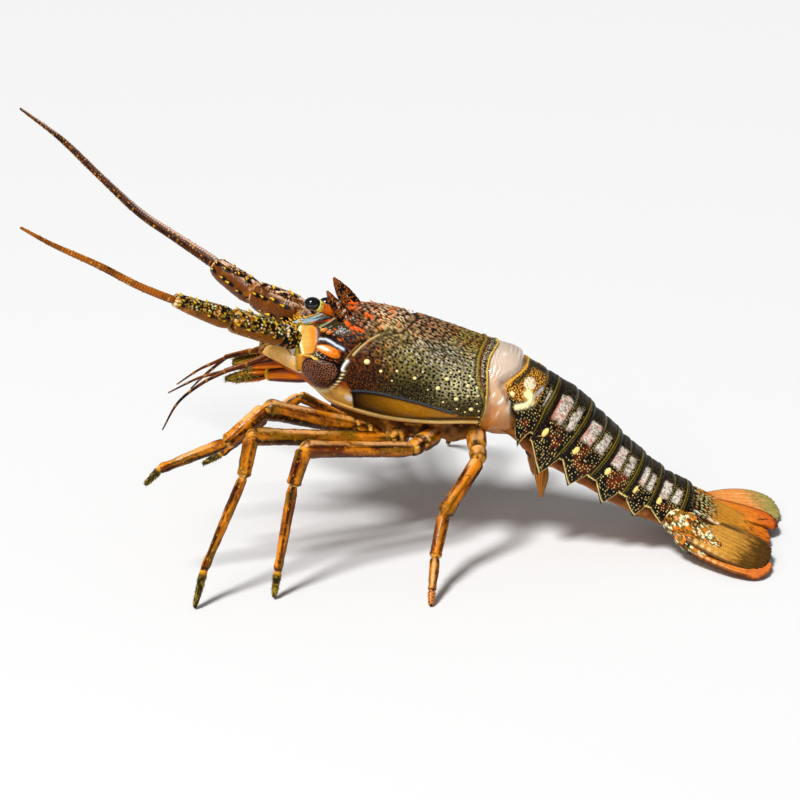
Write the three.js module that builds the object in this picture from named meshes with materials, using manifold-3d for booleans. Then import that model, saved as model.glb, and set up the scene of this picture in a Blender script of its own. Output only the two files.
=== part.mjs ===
// A spiny lobster, standing: head and feelers towards -X, tail fan towards +X, left side towards -Y, +Z up.
// Millimetres. It is laid out round a body axis first, then set down on z = 0 and centred over the origin.
import * as THREE from 'three';
import { mergeVertices } from 'three/addons/utils/BufferGeometryUtils.js';
import Module from 'manifold-3d';

const wasm = await Module();
wasm.setup();

// ---- Driving dimensions ----
const floorHeight = -86; // where the feet stand, before the model is set down
const axisHeight = 22; // body axis above the layout's own zero, under the middle of the carapace
const gap = 0.35; // clearance between neighbouring solids
const carapaceFront = -42; // distances along the body axis, from the middle of the carapace
const carapaceRear = 54;
const headFront = -83;

// How far the body axis slopes down towards the tail: distance along the axis, slope in degrees.
const slopeStations = [
  [-90, 10], [50, 10], [62, 27], [80, 29], [100, 35], [120, 40], [142, 38], [160, 33], [176, 26], [230, 26],
];

// The trunk along the axis: distance, crest height, half width, height of the widest line, lower rim.
const trunkStations = [
  [-84, 3, 9, -1, -6],
  [-76, 9, 15, 0, -7],
  [-66, 15, 21, 2, -9],
  [-56, 19, 26, 3, -11],
  [-46, 25, 30, 3, -15],
  [-36, 31, 32, 1, -21],
  [-20, 33.5, 34, -1, -24],
  [0, 32.5, 35, -2, -25],
  [25, 28.5, 34, -2, -23.3],
  [42, 25.5, 32, -1, -20.5],
  [56, 23.7, 29.5, 0, -18.5],
];
const rimAngle = 2.36; // from the crest round to the lower rim
const sideFullness = 0.85; // below 1 the sides stand fuller than an ellipse
const cervicalGroove = { depth: 1.7, halfWidth: 3.2, crestAt: 11, run: 46, endAngle: 1.35 };
const rearBand = { width: 6, rise: 0.9 };

const thorax = { front: -36, rear: 52, halfWidth: 20, keelWidth: 15, bottom: -43, frontBottom: -31 };
const membrane = { crest: 23.5, halfWidth: 27.5, bottom: -28, wrinkle: 0.9, folds: 3 };

// Abdomen rings: start and end on the axis, crest, half width, belly, tip of the side plate and its place.
const abdomenRings = [
  { start: 67, end: 91, crest: 22.5, halfWidth: 28, belly: -9, plateTip: -20, tipAt: 0.76 },
  { start: 91, end: 112, crest: 22.3, halfWidth: 29, belly: -12, plateTip: -27, tipAt: 0.82 },
  { start: 112, end: 135.5, crest: 20, halfWidth: 27.5, belly: -9, plateTip: -20.5, tipAt: 0.66 },
  { start: 135.5, end: 156.7, crest: 18, halfWidth: 25.5, belly: -6, plateTip: -17, tipAt: 0.64 },
  { start: 156.7, end: 172.6, crest: 16, halfWidth: 23, belly: -5, plateTip: -13.5, tipAt: 0.7 },
  { start: 172.6, end: 192.5, crest: 13.7, halfWidth: 20.5, belly: -4, plateTip: -10.5, tipAt: 0.55 },
];
const frontLobe = 6.5; // how far the first ring's sides bulge forwards
const ringStep = 1.1; // how far each ring's rear edge stands over the front edge of the next
const ringGroove = 0.8;
const plateThickness = 3.5;
const lobeHeight = 11; // where the first ring's sides bulge forwards, and how far up and down
const lobeReach = 12;
const plateRise = 0.15; // share of a ring's length in which its side plate rises again behind the tip

const bellyDepth = 4.5;
const bellyStep = 2.6; // from the rings' own underside down to the soft belly
// Swimmerets: the first pair hangs down, the others lie back along the belly.
const swimmeret = { length: 21, width: 9, thickness: 1.6, spread: 15, lean: [-0.12, 1.5, 1.7, 1.9] };

// Tail fan blades: root, tip, width, how wide the root is for that, how far the sides curl down, and roll.
const fanThickness = 1.7;
const fanBlades = [
  {
    name: 'telson',
    root: [173.5, 0, -55.6],
    tip: [225, 0, -74.5],
    width: 32,
    rootShare: 0.75,
    curl: 1,
    roll: 0,
  },
  {
    name: 'uropod_inner_left',
    root: [178, -14, -60.5],
    tip: [221, -26, -79],
    width: 28,
    rootShare: 0.5,
    curl: 1,
    roll: 0,
  },
  {
    name: 'uropod_inner_right',
    root: [178, 14, -60.5],
    tip: [228, 27, -78.5],
    width: 28,
    rootShare: 0.5,
    curl: 1,
    roll: 0,
  },
  {
    name: 'uropod_outer_left',
    root: [178, -24, -66.5],
    tip: [219, -41, -83],
    width: 29,
    rootShare: 0.5,
    curl: 0.5,
    roll: -0.05,
  },
  {
    name: 'uropod_outer_right',
    root: [178, 23, -66.5],
    tip: [230, 48, -80.5],
    width: 31,
    rootShare: 0.5,
    curl: 0.3,
    roll: 0.38,
  },
];

// Legs: where each joint lies, foot last, and the thickness of each stretch. Left legs are -Y.
const legs = {
  left: [
    {
      joints: [
        [-24, -13, -13], [-26, -20, -8], [-54, -38, 14],
        [-74, -44, 2], [-99, -52, -18], [-110, -55, -24],
      ],
      girth: [3.8, 3.2, 3.4, 3.2, 1.8],
    },
    {
      joints: [
        [-13, -17, -15], [-24, -29, -7], [-70.7, -60, 13.6],
        [-92, -72, -3.5], [-128, -85, -15.8], [-136, -90, -24],
      ],
      girth: [5.4, 5.8, 5, 3.6, 1.9],
    },
    {
      joints: [
        [2, -18, -16], [-3, -33, -13], [-76, -78, 3.7],
        [-79.5, -88, -17.4], [-99.3, -110, -65.7], [-103.5, -119.5, floorHeight],
      ],
      girth: [5.6, 4.8, 4.4, 3.1, 2],
    },
    {
      joints: [
        [20, -19, -16], [11, -39, -16], [-46, -78, -2.9],
        [-52, -84, -23.2], [-59.6, -97, -70.6], [-61.3, -102, floorHeight],
      ],
      girth: [5.6, 4.9, 4.6, 3.2, 2],
    },
    {
      joints: [
        [47, -18, -13], [50, -37, -22], [32, -62, -46.2],
        [28.6, -80, -65.9], [28.2, -96, -79], [28.2, -103, floorHeight],
      ],
      girth: [5.8, 4.6, 3.9, 3, 2],
    },
  ],
  right: [
    {
      joints: [
        [-24, 13, -13], [-26, 21, -8], [-52, 44, 14],
        [-58, 56, 6], [-40, 78, -16], [-34, 84, -24],
      ],
      girth: [3.8, 3.2, 3.4, 3.2, 1.8],
    },
    {
      joints: [
        [-13, 17, -15], [-20, 30, -7], [-44, 76, 14],
        [-46, 84, 6], [-42, 112, -40], [-40, 118, -50],
      ],
      girth: [5.4, 5.8, 5, 3.6, 1.9],
    },
    {
      joints: [
        [2, 18, -16], [-2, 33, -11], [-26, 98, 8],
        [-30, 108, -10], [-36, 142, -66], [-38, 152, floorHeight],
      ],
      girth: [5.6, 4.8, 4.4, 3.1, 2],
    },
    {
      joints: [
        [20, 19, -16], [20, 38, -12], [20, 92, 6],
        [20, 102, -12], [18, 138, -68], [18, 147, floorHeight],
      ],
      girth: [5.6, 4.9, 4.6, 3.2, 2],
    },
    {
      joints: [
        [47, 18, -13], [50, 36, -14], [62, 66, -12],
        [66, 76, -30], [76, 96, -70], [78, 101, floorHeight],
      ],
      girth: [5.8, 4.6, 3.9, 3, 2],
    },
  ],
};
const footRadius = 1.3;
const legSides = 7;

// Feelers: where each piece starts and ends, with the radius at each place.
const antennae = {
  left: {
    base: [[-56, -14, 37, 6.5], [-66, -22, 45.5, 7.6]],
    merus: [[-68.5, -24, 47, 7], [-78, -29, 51.5, 7.8], [-93, -37.5, 59, 6.6]],
    carpus: [
      [-97.5, -40.5, 61.5, 5.6], [-103, -44, 64.5, 6.2],
      [-118, -54, 73.5, 4.4], [-123, -58, 76.8, 3.2],
    ],
    flagellum: [
      [-124.5, -59, 77.5, 2.4], [-140, -71, 88.5, 2.2], [-156.4, -84, 102.5, 2],
      [-178, -101, 119, 1.4], [-191.2, -111.3, 130.6, 0.8],
    ],
  },
  right: {
    base: [[-54, 14, 36, 6], [-61, 22, 45.5, 6.6]],
    merus: [[-63.5, 24, 48, 6.4], [-75, 29.5, 50, 7.8], [-92, 38, 52, 7.6]],
    carpus: [[-97, 41, 53, 7.4], [-104, 45, 56, 8], [-117, 53, 62, 6.6], [-122, 57, 64.8, 4.6]],
    flagellum: [
      [-124, 58.5, 66.2, 3.7], [-173.2, 78, 90.8, 2.7], [-222.9, 98, 128.8, 2],
      [-233, 101, 136, 1.7], [-256.5, 110.1, 149.4, 0.8],
    ],
  },
};
const antennules = {
  left: {
    stem: [[-76, -9, 29, 2.5], [-88, -12, 24.5, 2.4], [-91, -12.5, 23.5, 1.7], [-104, -15, 19.5, 2]],
    upper: [[-102, -15, 20, 1.3], [-120, -17, 15, 1], [-137, -20, 6.5, 0.5]],
    lower: [[-102, -15, 20, 1.4], [-116, -18, 13, 1.1], [-130.5, -22, 1.5, 0.9], [-140.5, -24, -15.8, 0.5]],
  },
  right: {
    stem: [[-76, 5, 30, 2.5], [-88, 6, 26.5, 2.4], [-91, 6.2, 25.8, 1.7], [-108, 8, 20.5, 1.9]],
    upper: [[-106, 8, 21, 1.3], [-124, 10, 11.5, 1], [-139, 12, 0.5, 0.5]],
    lower: [[-106, 8, 21, 1.3], [-121, 12, 7.5, 1], [-131, 15, -3, 0.5]],
  },
};
const maxillipeds = {
  left: [
    [-50, -9, 21, 3.4], [-58, -11, 19.5, 3.8], [-79, -12.5, 18, 3.6], [-81, -12.5, 17.8, 2.6],
    [-84, -12.5, 17.5, 3.2], [-96, -12, 15.5, 2.7], [-103, -11.5, 14, 1.2],
  ],
  right: [
    [-54, 9, 20, 3.6], [-62, 10, 20, 4.2], [-78, 11, 19.5, 4.4], [-80, 11, 19.3, 3.2],
    [-84, 11.2, 19, 4.4], [-98, 11.5, 17, 4], [-102, 11.5, 16.2, 2.2],
  ],
};
const eyes = {
  radius: 5,
  stalkRadius: 3,
  left: { ball: [-50, -14, 63], root: [-37, -7.5, 55.5] },
  right: { ball: [-46.5, 12.5, 58.5], root: [-36, 6.5, 54] },
};

const colours = {
  shell: 0x4a3a26, belly: 0x9a6a3c, membrane: 0xd9b8ac, head: 0xb98d4f, feeler: 0x7d7040,
  leg: 0xa87432, fan: 0xa9783a, eye: 0x0a0a0c, flagellum: 0x6e4a26,
};

// ---- Curves and frames ----

// A smooth value between stations: row[0] is the place, row[column] the value there.
function smoothAt(stations, place, column) {
  const last = stations.length - 1;
  const x = Math.min(Math.max(place, stations[0][0]), stations[last][0]);
  let i = 0;
  while (i < last - 1 && x > stations[i + 1][0]) i += 1;
  const slope = (k) => {
    const a = stations[Math.max(k - 1, 0)];
    const b = stations[Math.min(k + 1, last)];
    return (b[column] - a[column]) / (b[0] - a[0]);
  };
  const [p, q] = [stations[i], stations[i + 1]];
  const span = q[0] - p[0];
  const t = (x - p[0]) / span;
  const [t2, t3] = [t * t, t * t * t];
  return (2 * t3 - 3 * t2 + 1) * p[column] + (t3 - 2 * t2 + t) * span * slope(i)
    + (3 * t2 - 2 * t3) * q[column] + (t3 - t2) * span * slope(i + 1);
}

// The body axis: its point and slope at each millimetre, by adding up short steps along the slope.
const axisFirst = -90;
const axisPoints = [];
{
  const step = (from, to) => {
    const slope = THREE.MathUtils.degToRad(smoothAt(slopeStations, (from + to) / 2, 1));
    return [(to - from) * Math.cos(slope), -(to - from) * Math.sin(slope)];
  };
  let [x, z] = [0, axisHeight];
  for (let s = 0; s > axisFirst; s -= 1) {
    const [dx, dz] = step(s, s - 1);
    x += dx;
    z += dz;
  }
  for (let s = axisFirst; s <= 230; s += 1) {
    axisPoints.push([x, z]);
    const [dx, dz] = step(s, s + 1);
    x += dx;
    z += dz;
  }
}

// A point of the body: s along the axis, y to the lobster's right, h above the axis.
function bodyPoint(s, y, h) {
  const place = Math.min(Math.max(s - axisFirst, 0), axisPoints.length - 2);
  const i = Math.floor(place);
  const t = place - i;
  const slope = THREE.MathUtils.degToRad(smoothAt(slopeStations, s, 1));
  const x = THREE.MathUtils.lerp(axisPoints[i][0], axisPoints[i + 1][0], t);
  const z = THREE.MathUtils.lerp(axisPoints[i][1], axisPoints[i + 1][1], t);
  return new THREE.Vector3(x + h * Math.sin(slope), y, z + h * Math.cos(slope));
}

const range = (count) => Array.from({ length: count }, (_, i) => i);
const signedPower = (value, power) => Math.sign(value) * Math.abs(value) ** power;
const bump = (value) => Math.exp(-value * value);

// ---- Solids ----

function solidFrom(points, triangles) {
  let volume = 0;
  const cross = new THREE.Vector3();
  for (const [a, b, c] of triangles) volume += points[a].dot(cross.crossVectors(points[b], points[c]));
  const faces = volume < 0 ? triangles.map(([a, b, c]) => [a, c, b]) : triangles;
  const geometry = new THREE.BufferGeometry();
  geometry.setAttribute('position', new THREE.Float32BufferAttribute(points.flatMap((p) => p.toArray()), 3));
  geometry.setIndex(faces.flat());
  return geometry;
}

// Rings of equal count joined one after another; each end is closed on the ring's own outline.
function loft(rings, endOutline) {
  const count = rings[0].length;
  const points = rings.flat();
  const triangles = [];
  for (let r = 0; r < rings.length - 1; r += 1) {
    for (let i = 0; i < count; i += 1) {
      const a = r * count + i;
      const b = r * count + ((i + 1) % count);
      triangles.push([a, b, b + count], [a, b + count, a + count]);
    }
  }
  const lastRing = (rings.length - 1) * count;
  if (endOutline) {
    const capOf = (r) => THREE.ShapeUtils.triangulateShape(endOutline(r), []);
    for (const cap of capOf(0)) triangles.push(cap);
    for (const cap of capOf(rings.length - 1)) triangles.push(cap.map((v) => lastRing + v));
    return solidFrom(points, matchEnds(triangles, count, lastRing));
  }
  const centre = (ring) => ring.reduce((sum, p) => sum.add(p), new THREE.Vector3()).divideScalar(count);
  points.push(centre(rings[0]), centre(rings[rings.length - 1]));
  for (let i = 0; i < count; i += 1) {
    const j = (i + 1) % count;
    triangles.push([points.length - 2, j, i], [points.length - 1, lastRing + i, lastRing + j]);
  }
  return solidFrom(points, triangles);
}

// Turns the triangles of both ends so that they run against the ring edges they share with the sides.
function matchEnds(triangles, count, lastRing) {
  const ends = [];
  const kept = [];
  for (const triangle of triangles) {
    const isEnd = triangle.every((v) => v < count) || triangle.every((v) => v >= lastRing);
    (isEnd ? ends : kept).push(triangle);
  }
  const edgesOf = ([a, b, c]) => [`${a},${b}`, `${b},${c}`, `${c},${a}`];
  const sideEdges = new Set(kept.flatMap(edgesOf));
  const clash = (end) => end.flatMap(edgesOf).some((edge) => sideEdges.has(edge));
  for (const end of [ends.filter((t) => t[0] < count), ends.filter((t) => t[0] >= lastRing)]) {
    const turned = clash(end);
    end.forEach(([a, b, c]) => kept.push(turned ? [a, c, b] : [a, b, c]));
  }
  return kept;
}

// A thin plate: surface(t, q) is its middle, with t from 0 to 1 along it and q from -1 to 1 across it.
function plate(surface, along, across, thickness, normal) {
  const faces = [0.5, -0.5].map((side) => range(along + 1).flatMap((i) => range(across + 1).map((j) => (
    surface(i / along, (2 * j) / across - 1).addScaledVector(normal, side * thickness)))));
  const row = across + 1;
  const below = faces[0].length;
  const triangles = [];
  for (let i = 0; i < along; i += 1) {
    for (let j = 0; j < across; j += 1) {
      const a = i * row + j;
      const b = below + a;
      triangles.push([a, a + row, a + row + 1], [a, a + row + 1, a + 1]);
      triangles.push([b, b + row + 1, b + row], [b, b + 1, b + row + 1]);
    }
  }
  const edge = [
    ...range(across).map((j) => j),
    ...range(along).map((i) => i * row + across),
    ...range(across).map((j) => along * row + across - j),
    ...range(along).map((i) => (along - i) * row),
  ];
  edge.forEach((a, k) => {
    const b = edge[(k + 1) % edge.length];
    triangles.push([a, b, below + b], [a, below + b, below + a]);
  });
  return solidFrom([...faces[0], ...faces[1]], triangles);
}

// A round limb through places given as [x, y, z, radius]; footing sets the last ring flat on the ground.
function limb(places, sides, footing = false) {
  const points = places.map(([x, y, z]) => new THREE.Vector3(x, y, z));
  const tangents = points.map((_, i) => new THREE.Vector3().subVectors(
    points[Math.min(i + 1, points.length - 1)],
    points[Math.max(i - 1, 0)],
  ).normalize());
  let side = new THREE.Vector3(0, 0, 1).cross(tangents[0]).normalize();
  const rings = points.map((point, i) => {
    side = side.clone().addScaledVector(tangents[i], -side.dot(tangents[i])).normalize();
    const up = new THREE.Vector3().crossVectors(tangents[i], side);
    return range(sides).map((k) => {
      const angle = (k * 2 * Math.PI) / sides;
      const vertex = point.clone().addScaledVector(side, places[i][3] * Math.cos(angle));
      vertex.addScaledVector(up, places[i][3] * Math.sin(angle));
      if (footing && i === points.length - 1) vertex.z = floorHeight;
      return vertex;
    });
  });
  return loft(rings);
}

// The same places, thicker and longer at both ends by the clearance.
function grown(places, clearance = gap) {
  const last = places.length - 1;
  return places.map(([x, y, z, radius], i) => {
    const point = new THREE.Vector3(x, y, z);
    if (i === 0 || i === last) {
      const inner = new THREE.Vector3(...places[i === 0 ? 1 : last - 1].slice(0, 3));
      point.addScaledVector(point.clone().sub(inner).normalize(), clearance);
    }
    return [...point.toArray(), radius + clearance];
  });
}

// One stretch of a leg: a slim joint, a quick swelling, a taper and a slim joint again.
function stretch(from, to, radius, taper = 0.85) {
  const along = (t) => from.map((value, k) => THREE.MathUtils.lerp(value, to[k], t));
  const at = (t, factor) => [...along(t), radius * factor];
  return [at(0.03, 0.72), at(0.14, 1), at(0.82, taper), at(0.97, taper * 0.8)];
}

function toManifold(geometry) {
  const bare = geometry.clone();
  bare.deleteAttribute('normal');
  bare.deleteAttribute('uv');
  const merged = mergeVertices(bare, 1e-4);
  return new wasm.Manifold(new wasm.Mesh({
    numProp: 3,
    vertProperties: new Float32Array(merged.attributes.position.array),
    triVerts: new Uint32Array(merged.index.array),
  }));
}

function fromManifold(solid) {
  const mesh = solid.getMesh();
  const geometry = new THREE.BufferGeometry();
  geometry.setAttribute('position', new THREE.BufferAttribute(mesh.vertProperties, 3));
  geometry.setIndex(new THREE.BufferAttribute(mesh.triVerts, 1));
  return geometry;
}

const join = (...geometries) => fromManifold(geometries.map(toManifold).reduce((sum, one) => sum.add(one)));

// Cuts the other solids away, and keeps the largest piece that is left.
function cut(geometry, ...cutters) {
  const rest = cutters.map(toManifold).reduce((left, one) => left.subtract(one), toManifold(geometry));
  const pieces = rest.decompose().sort((a, b) => b.volume() - a.volume());
  return fromManifold(pieces[0]);
}

// ---- Trunk: head and carapace ----

// Relief of the carapace: the groove round the neck, and the raised band along the rear edge.
function carapaceRelief(s, angle) {
  const reach = Math.min(Math.abs(angle) / cervicalGroove.endAngle, 1);
  const grooveAt = cervicalGroove.crestAt - cervicalGroove.run * reach ** 2.2;
  const fade = Math.abs(angle) < cervicalGroove.endAngle ? 1 : 0;
  const groove = -fade * cervicalGroove.depth * bump((s - grooveAt) / cervicalGroove.halfWidth);
  const band = s > carapaceRear - rearBand.width ? rearBand.rise : 0;
  return groove + band;
}

function trunkRing(s, points, grow, relief) {
  const [crest, halfWidth, widest, rim] = [1, 2, 3, 4].map((column) => smoothAt(trunkStations, s, column));
  return range(points).map((i) => {
    const angle = rimAngle * ((2 * i) / (points - 1) - 1);
    const raised = grow + relief(s, angle);
    const rise = Math.cos(angle) > 0 ? crest - widest + raised : (widest - rim + grow) / -Math.cos(rimAngle);
    const y = (halfWidth + raised) * signedPower(Math.sin(angle), sideFullness);
    return bodyPoint(s, y, widest + rise * Math.cos(angle));
  });
}

function trunk(from, to, rows, points, grow = 0, relief = () => 0) {
  const places = range(rows + 1).map((r) => THREE.MathUtils.lerp(from, to, r / rows));
  return loft(places.map((s) => trunkRing(s, points, grow, relief)));
}

// A thorn: a slim cone bent towards its tip.
function thorn(root, tip, radius, sides = 5) {
  const middle = root.map((value, k) => THREE.MathUtils.lerp(value, tip[k], 0.55));
  return limb([[...root, radius], [...middle, radius * 0.5], [...tip, radius * 0.12]], sides);
}

function hornPlaces(side) {
  return [
    [-29, side * 13, 51, 7],
    [-34, side * 14, 59, 6],
    [-38, side * 14.5, 65.5, 3.6],
    [-41.5, side * 14, 71.5, 0.5],
  ];
}

// Thorns in rows that fan out over the front of the carapace and fade towards its rear.
function carapaceThorns() {
  const rows = [
    { angle: 0.28, from: -32, to: -8, count: 3, size: 3.2 },
    { angle: 0.66, from: -36, to: 0, count: 4, size: 3.6 },
    { angle: 1.1, from: -38, to: -20, count: 2, size: 3.2 },
    { angle: 0.3, from: 18, to: 44, count: 3, size: 1.7 },
  ];
  const thorns = [];
  for (const row of rows) {
    for (const i of range(row.count)) {
      const s = THREE.MathUtils.lerp(row.from, row.to, row.count > 1 ? i / (row.count - 1) : 0);
      for (const side of [-1, 1]) {
        const ringAt = (place, grow) => {
          const [crest, halfWidth, widest] = [1, 2, 3].map((k) => smoothAt(trunkStations, place, k));
          const y = side * (halfWidth + grow) * Math.sin(row.angle) ** sideFullness;
          return bodyPoint(place, y, widest + (crest - widest + grow) * Math.cos(row.angle));
        };
        const size = row.size * (1 - 0.12 * i);
        const root = ringAt(s, -2.4).toArray();
        thorns.push(thorn(root, ringAt(s - size * 1.2, size * 0.55).toArray(), size * 0.5, 4));
      }
    }
  }
  return thorns;
}

const headShape = () => trunk(headFront, carapaceFront - gap, 10, 21);
const headClearance = trunk(headFront - gap, carapaceFront, 10, 21, gap);
const carapaceClearance = trunk(carapaceFront - gap, carapaceRear + gap, 14, 21, gap + 0.2);

function carapaceSolid() {
  const shell = trunk(carapaceFront, carapaceRear, 28, 33, 0, carapaceRelief);
  return join(shell, limb(hornPlaces(-1), 7), limb(hornPlaces(1), 7), ...carapaceThorns());
}

// ---- Thorax, membrane, abdomen ----

function thoraxSolid(grow = 0) {
  const rows = 8;
  const rings = range(rows + 1).map((r) => {
    const t = r / rows;
    const s = THREE.MathUtils.lerp(thorax.front - grow, thorax.rear + grow, t);
    const top = smoothAt(trunkStations, s, 4) - 1.5 * gap + grow;
    const keelLine = THREE.MathUtils.lerp(thorax.frontBottom, thorax.bottom, Math.min(1, t * 2.5));
    const bottom = keelLine + 6 * t ** 3 - grow;
    const wide = thorax.halfWidth * (0.72 + 0.28 * Math.sin(Math.PI * Math.min(1, 0.25 + t))) + grow;
    const keel = Math.min(thorax.keelWidth, wide * 0.65) + grow;
    const down = (share) => THREE.MathUtils.lerp(top, bottom, share);
    const outline = [[wide, top], [wide, down(0.45)], [wide - 2, down(0.8)], [keel, bottom]];
    const mirrored = outline.map(([y, h]) => [-y, h]).reverse();
    return [...outline, [0, bottom - 1], ...mirrored].map(([y, h]) => bodyPoint(s, y, h));
  });
  return loft(rings);
}

function membraneSolid(grow = 0) {
  const rows = 8;
  const points = 20;
  const rings = range(rows + 1).map((r) => {
    const t = r / rows;
    const s = THREE.MathUtils.lerp(carapaceRear + gap - grow, abdomenRings[0].start - gap, t);
    const wave = membrane.wrinkle * Math.sin(t * membrane.folds * 2 * Math.PI) - 2.2 * t + grow;
    return range(points).map((i) => {
      const angle = (i * 2 * Math.PI) / points;
      const rise = Math.cos(angle) > 0 ? membrane.crest : -membrane.bottom;
      const y = (membrane.halfWidth + wave) * signedPower(Math.sin(angle), 0.8);
      return bodyPoint(s, y, (rise + wave) * Math.cos(angle));
    });
  });
  return loft(rings);
}

// The outline of one abdomen ring across the body: over the back from tip to tip, then along the belly.
function abdomenOutline(ring, t, grow) {
  const arch = 17;
  const tailwards = ring.end > 190 ? 0.04 : 0.08;
  const step = THREE.MathUtils.lerp(-ringStep, 0.2, Math.min(1, t * 3));
  const swell = step - ringGroove * bump((t - 0.45) / 0.12) + grow;
  const taper = 1 - tailwards * t;
  const belly = ring.belly - grow;
  const tip = ring.plateTip - grow;
  const reach = t < ring.tipAt ? t / ring.tipAt : Math.max(0, 1 - (t - ring.tipAt) / plateRise);
  const plateDrop = THREE.MathUtils.lerp(belly, tip, reach);
  const width = ring.halfWidth * taper + swell;
  const crest = ring.crest * taper + swell;
  const shoulder = ring.belly * 0.4;
  const over = range(arch).map((i) => {
    const angle = Math.PI * (i / (arch - 1) - 0.5);
    const rise = (crest - shoulder) * Math.cos(angle) ** 0.9;
    return [width * signedPower(Math.sin(angle), 0.9), shoulder + rise];
  });
  const outerEdge = [width - 1.2, plateDrop];
  const inset = plateThickness + 2 * grow;
  const innerEdge = [width - 1.2 - inset, Math.min(plateDrop + 2, belly - 0.3)];
  const corner = [width - 2.2 - inset, belly];
  const below = [outerEdge, innerEdge, corner, [0, belly - 0.5]];
  const opposite = [corner, innerEdge, outerEdge].map(([y, h]) => [-y, h]);
  return [...over, ...below, ...opposite];
}

function abdomenRing(ring, grow = 0) {
  const places = [0, 0.22, 0.45, ring.tipAt, ring.tipAt + plateRise, 1];
  const outlineAt = (r, extra) => abdomenOutline(ring, places[r], extra);
  const rings = places.map((t, r) => {
    const s = THREE.MathUtils.lerp(ring.start + gap / 2 - grow, ring.end - gap / 2 + grow, t);
    const heights = outlineAt(r, 0).map((point) => point[1]);
    return outlineAt(r, grow).map(([y, h], i) => {
      const lobe = Math.max(0, 1 - ((heights[i] - lobeHeight) / lobeReach) ** 2) ** 2;
      return bodyPoint(s - (ring === abdomenRings[0] ? frontLobe : 0) * (1 - t) * lobe, y, h);
    });
  });
  return loft(rings, (r) => outlineAt(r, 0).map(([y, h]) => new THREE.Vector2(y, h)));
}

function bellySolid() {
  const first = abdomenRings[0];
  const last = abdomenRings[abdomenRings.length - 1];
  const heights = abdomenRings.map((ring) => [(ring.start + ring.end) / 2, ring.belly, ring.halfWidth]);
  const rows = 12;
  const rings = range(rows + 1).map((r) => {
    const s = THREE.MathUtils.lerp(first.start + 2, last.end - 3, r / rows);
    const top = smoothAt(heights, s, 1) - bellyStep;
    const wide = smoothAt(heights, s, 2) - plateThickness - 6.5;
    const outline = [[wide, top], [wide - 1, top - bellyDepth * 0.6], [wide * 0.5, top - bellyDepth]];
    const mirrored = outline.map(([y, h]) => [-y, h]).reverse();
    return [...outline, ...mirrored].map(([y, h]) => bodyPoint(s, y, h));
  });
  return loft(rings);
}

// A swimmeret: a leaf that hangs from the belly, turned a little outwards.
function swimmeretSolid(ring, side, lean) {
  const middle = (ring.start + ring.end) / 2;
  const share = ring.halfWidth / abdomenRings[1].halfWidth;
  const root = bodyPoint(middle, side * swimmeret.spread * share, ring.belly - bellyStep - bellyDepth - 1.2);
  const scale = share * (lean > 0 ? 0.75 : 1);
  const down = new THREE.Vector3(lean, side * 0.22, -1 - lean * 0.6).normalize();
  const across = new THREE.Vector3(0.8, side * 0.55, 0).normalize();
  const normal = new THREE.Vector3().crossVectors(down, across).normalize();
  const spread = (t) => 0.35 + 0.65 * Math.sin(Math.PI * (0.12 + 0.74 * t));
  const halfWidth = (t) => swimmeret.width * scale * 0.5 * spread(t);
  const surface = (t, q) => root.clone()
    .addScaledVector(down, swimmeret.length * scale * t * (1 - 0.1 * q * q * t))
    .addScaledVector(across, q * halfWidth(t))
    .addScaledVector(normal, 0.8 * Math.sin(Math.PI * t) * (1 - q * q));
  return plate(surface, 5, 3, swimmeret.thickness, normal);
}

// ---- Tail fan ----

function fanBlade(blade) {
  const root = new THREE.Vector3(...blade.root);
  const tip = new THREE.Vector3(...blade.tip);
  const along = new THREE.Vector3().subVectors(tip, root);
  const length = along.length();
  along.normalize();
  const across = new THREE.Vector3(0, 0, 1).cross(along).normalize().applyAxisAngle(along, blade.roll);
  const normal = new THREE.Vector3().crossVectors(along, across);
  const spread = (t) => blade.rootShare + (1 - blade.rootShare) * Math.sin(Math.PI * 0.62 * t) ** 1.1;
  const halfWidth = (t) => 0.5 * blade.width * spread(t) * (1 - 0.28 * t ** 5);
  const surface = (t, q) => root.clone()
    .addScaledVector(along, length * (t - 0.16 * q * q * t ** 3))
    .addScaledVector(across, q * halfWidth(t))
    .addScaledVector(normal, -blade.curl * q * q * (1 - t * 0.6));
  return plate(surface, 7, 6, fanThickness, normal);
}

function uropodBase(side) {
  const places = [
    [162.5, side * 15, -62.5, 4.8],
    [166, side * 19, -64.5, 7],
    [171, side * 22.5, -66.5, 6.6],
    [174.6, side * 24, -68, 3],
  ];
  return limb(places, 8);
}

// ---- Legs, feelers, eyes, mouth ----

function upperLegPlaces(leg) {
  const [coxa, hip, knee] = leg.joints;
  const hock = coxa.map((value, k) => THREE.MathUtils.lerp(value, hip[k], 0.62));
  return [
    [...coxa, leg.girth[0] * 0.9],
    [...hock, leg.girth[0]],
    ...stretch(hip, knee, leg.girth[1], 1.05),
  ];
}

function lowerLeg(leg) {
  const [, , knee, wrist, ankle, toe] = leg.joints;
  const standing = toe[2] === floorHeight;
  const middle = ankle.map((value, k) => THREE.MathUtils.lerp(value, toe[k], 0.5));
  return limb([
    ...stretch(knee, wrist, leg.girth[2]),
    ...stretch(wrist, ankle, leg.girth[3], 0.8).slice(1),
    [...middle, leg.girth[4]],
    [...toe, standing ? footRadius : 0.5],
  ], legSides, standing);
}

function antennaBase(places) {
  return limb([...places.base, ...places.merus], 9);
}

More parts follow.
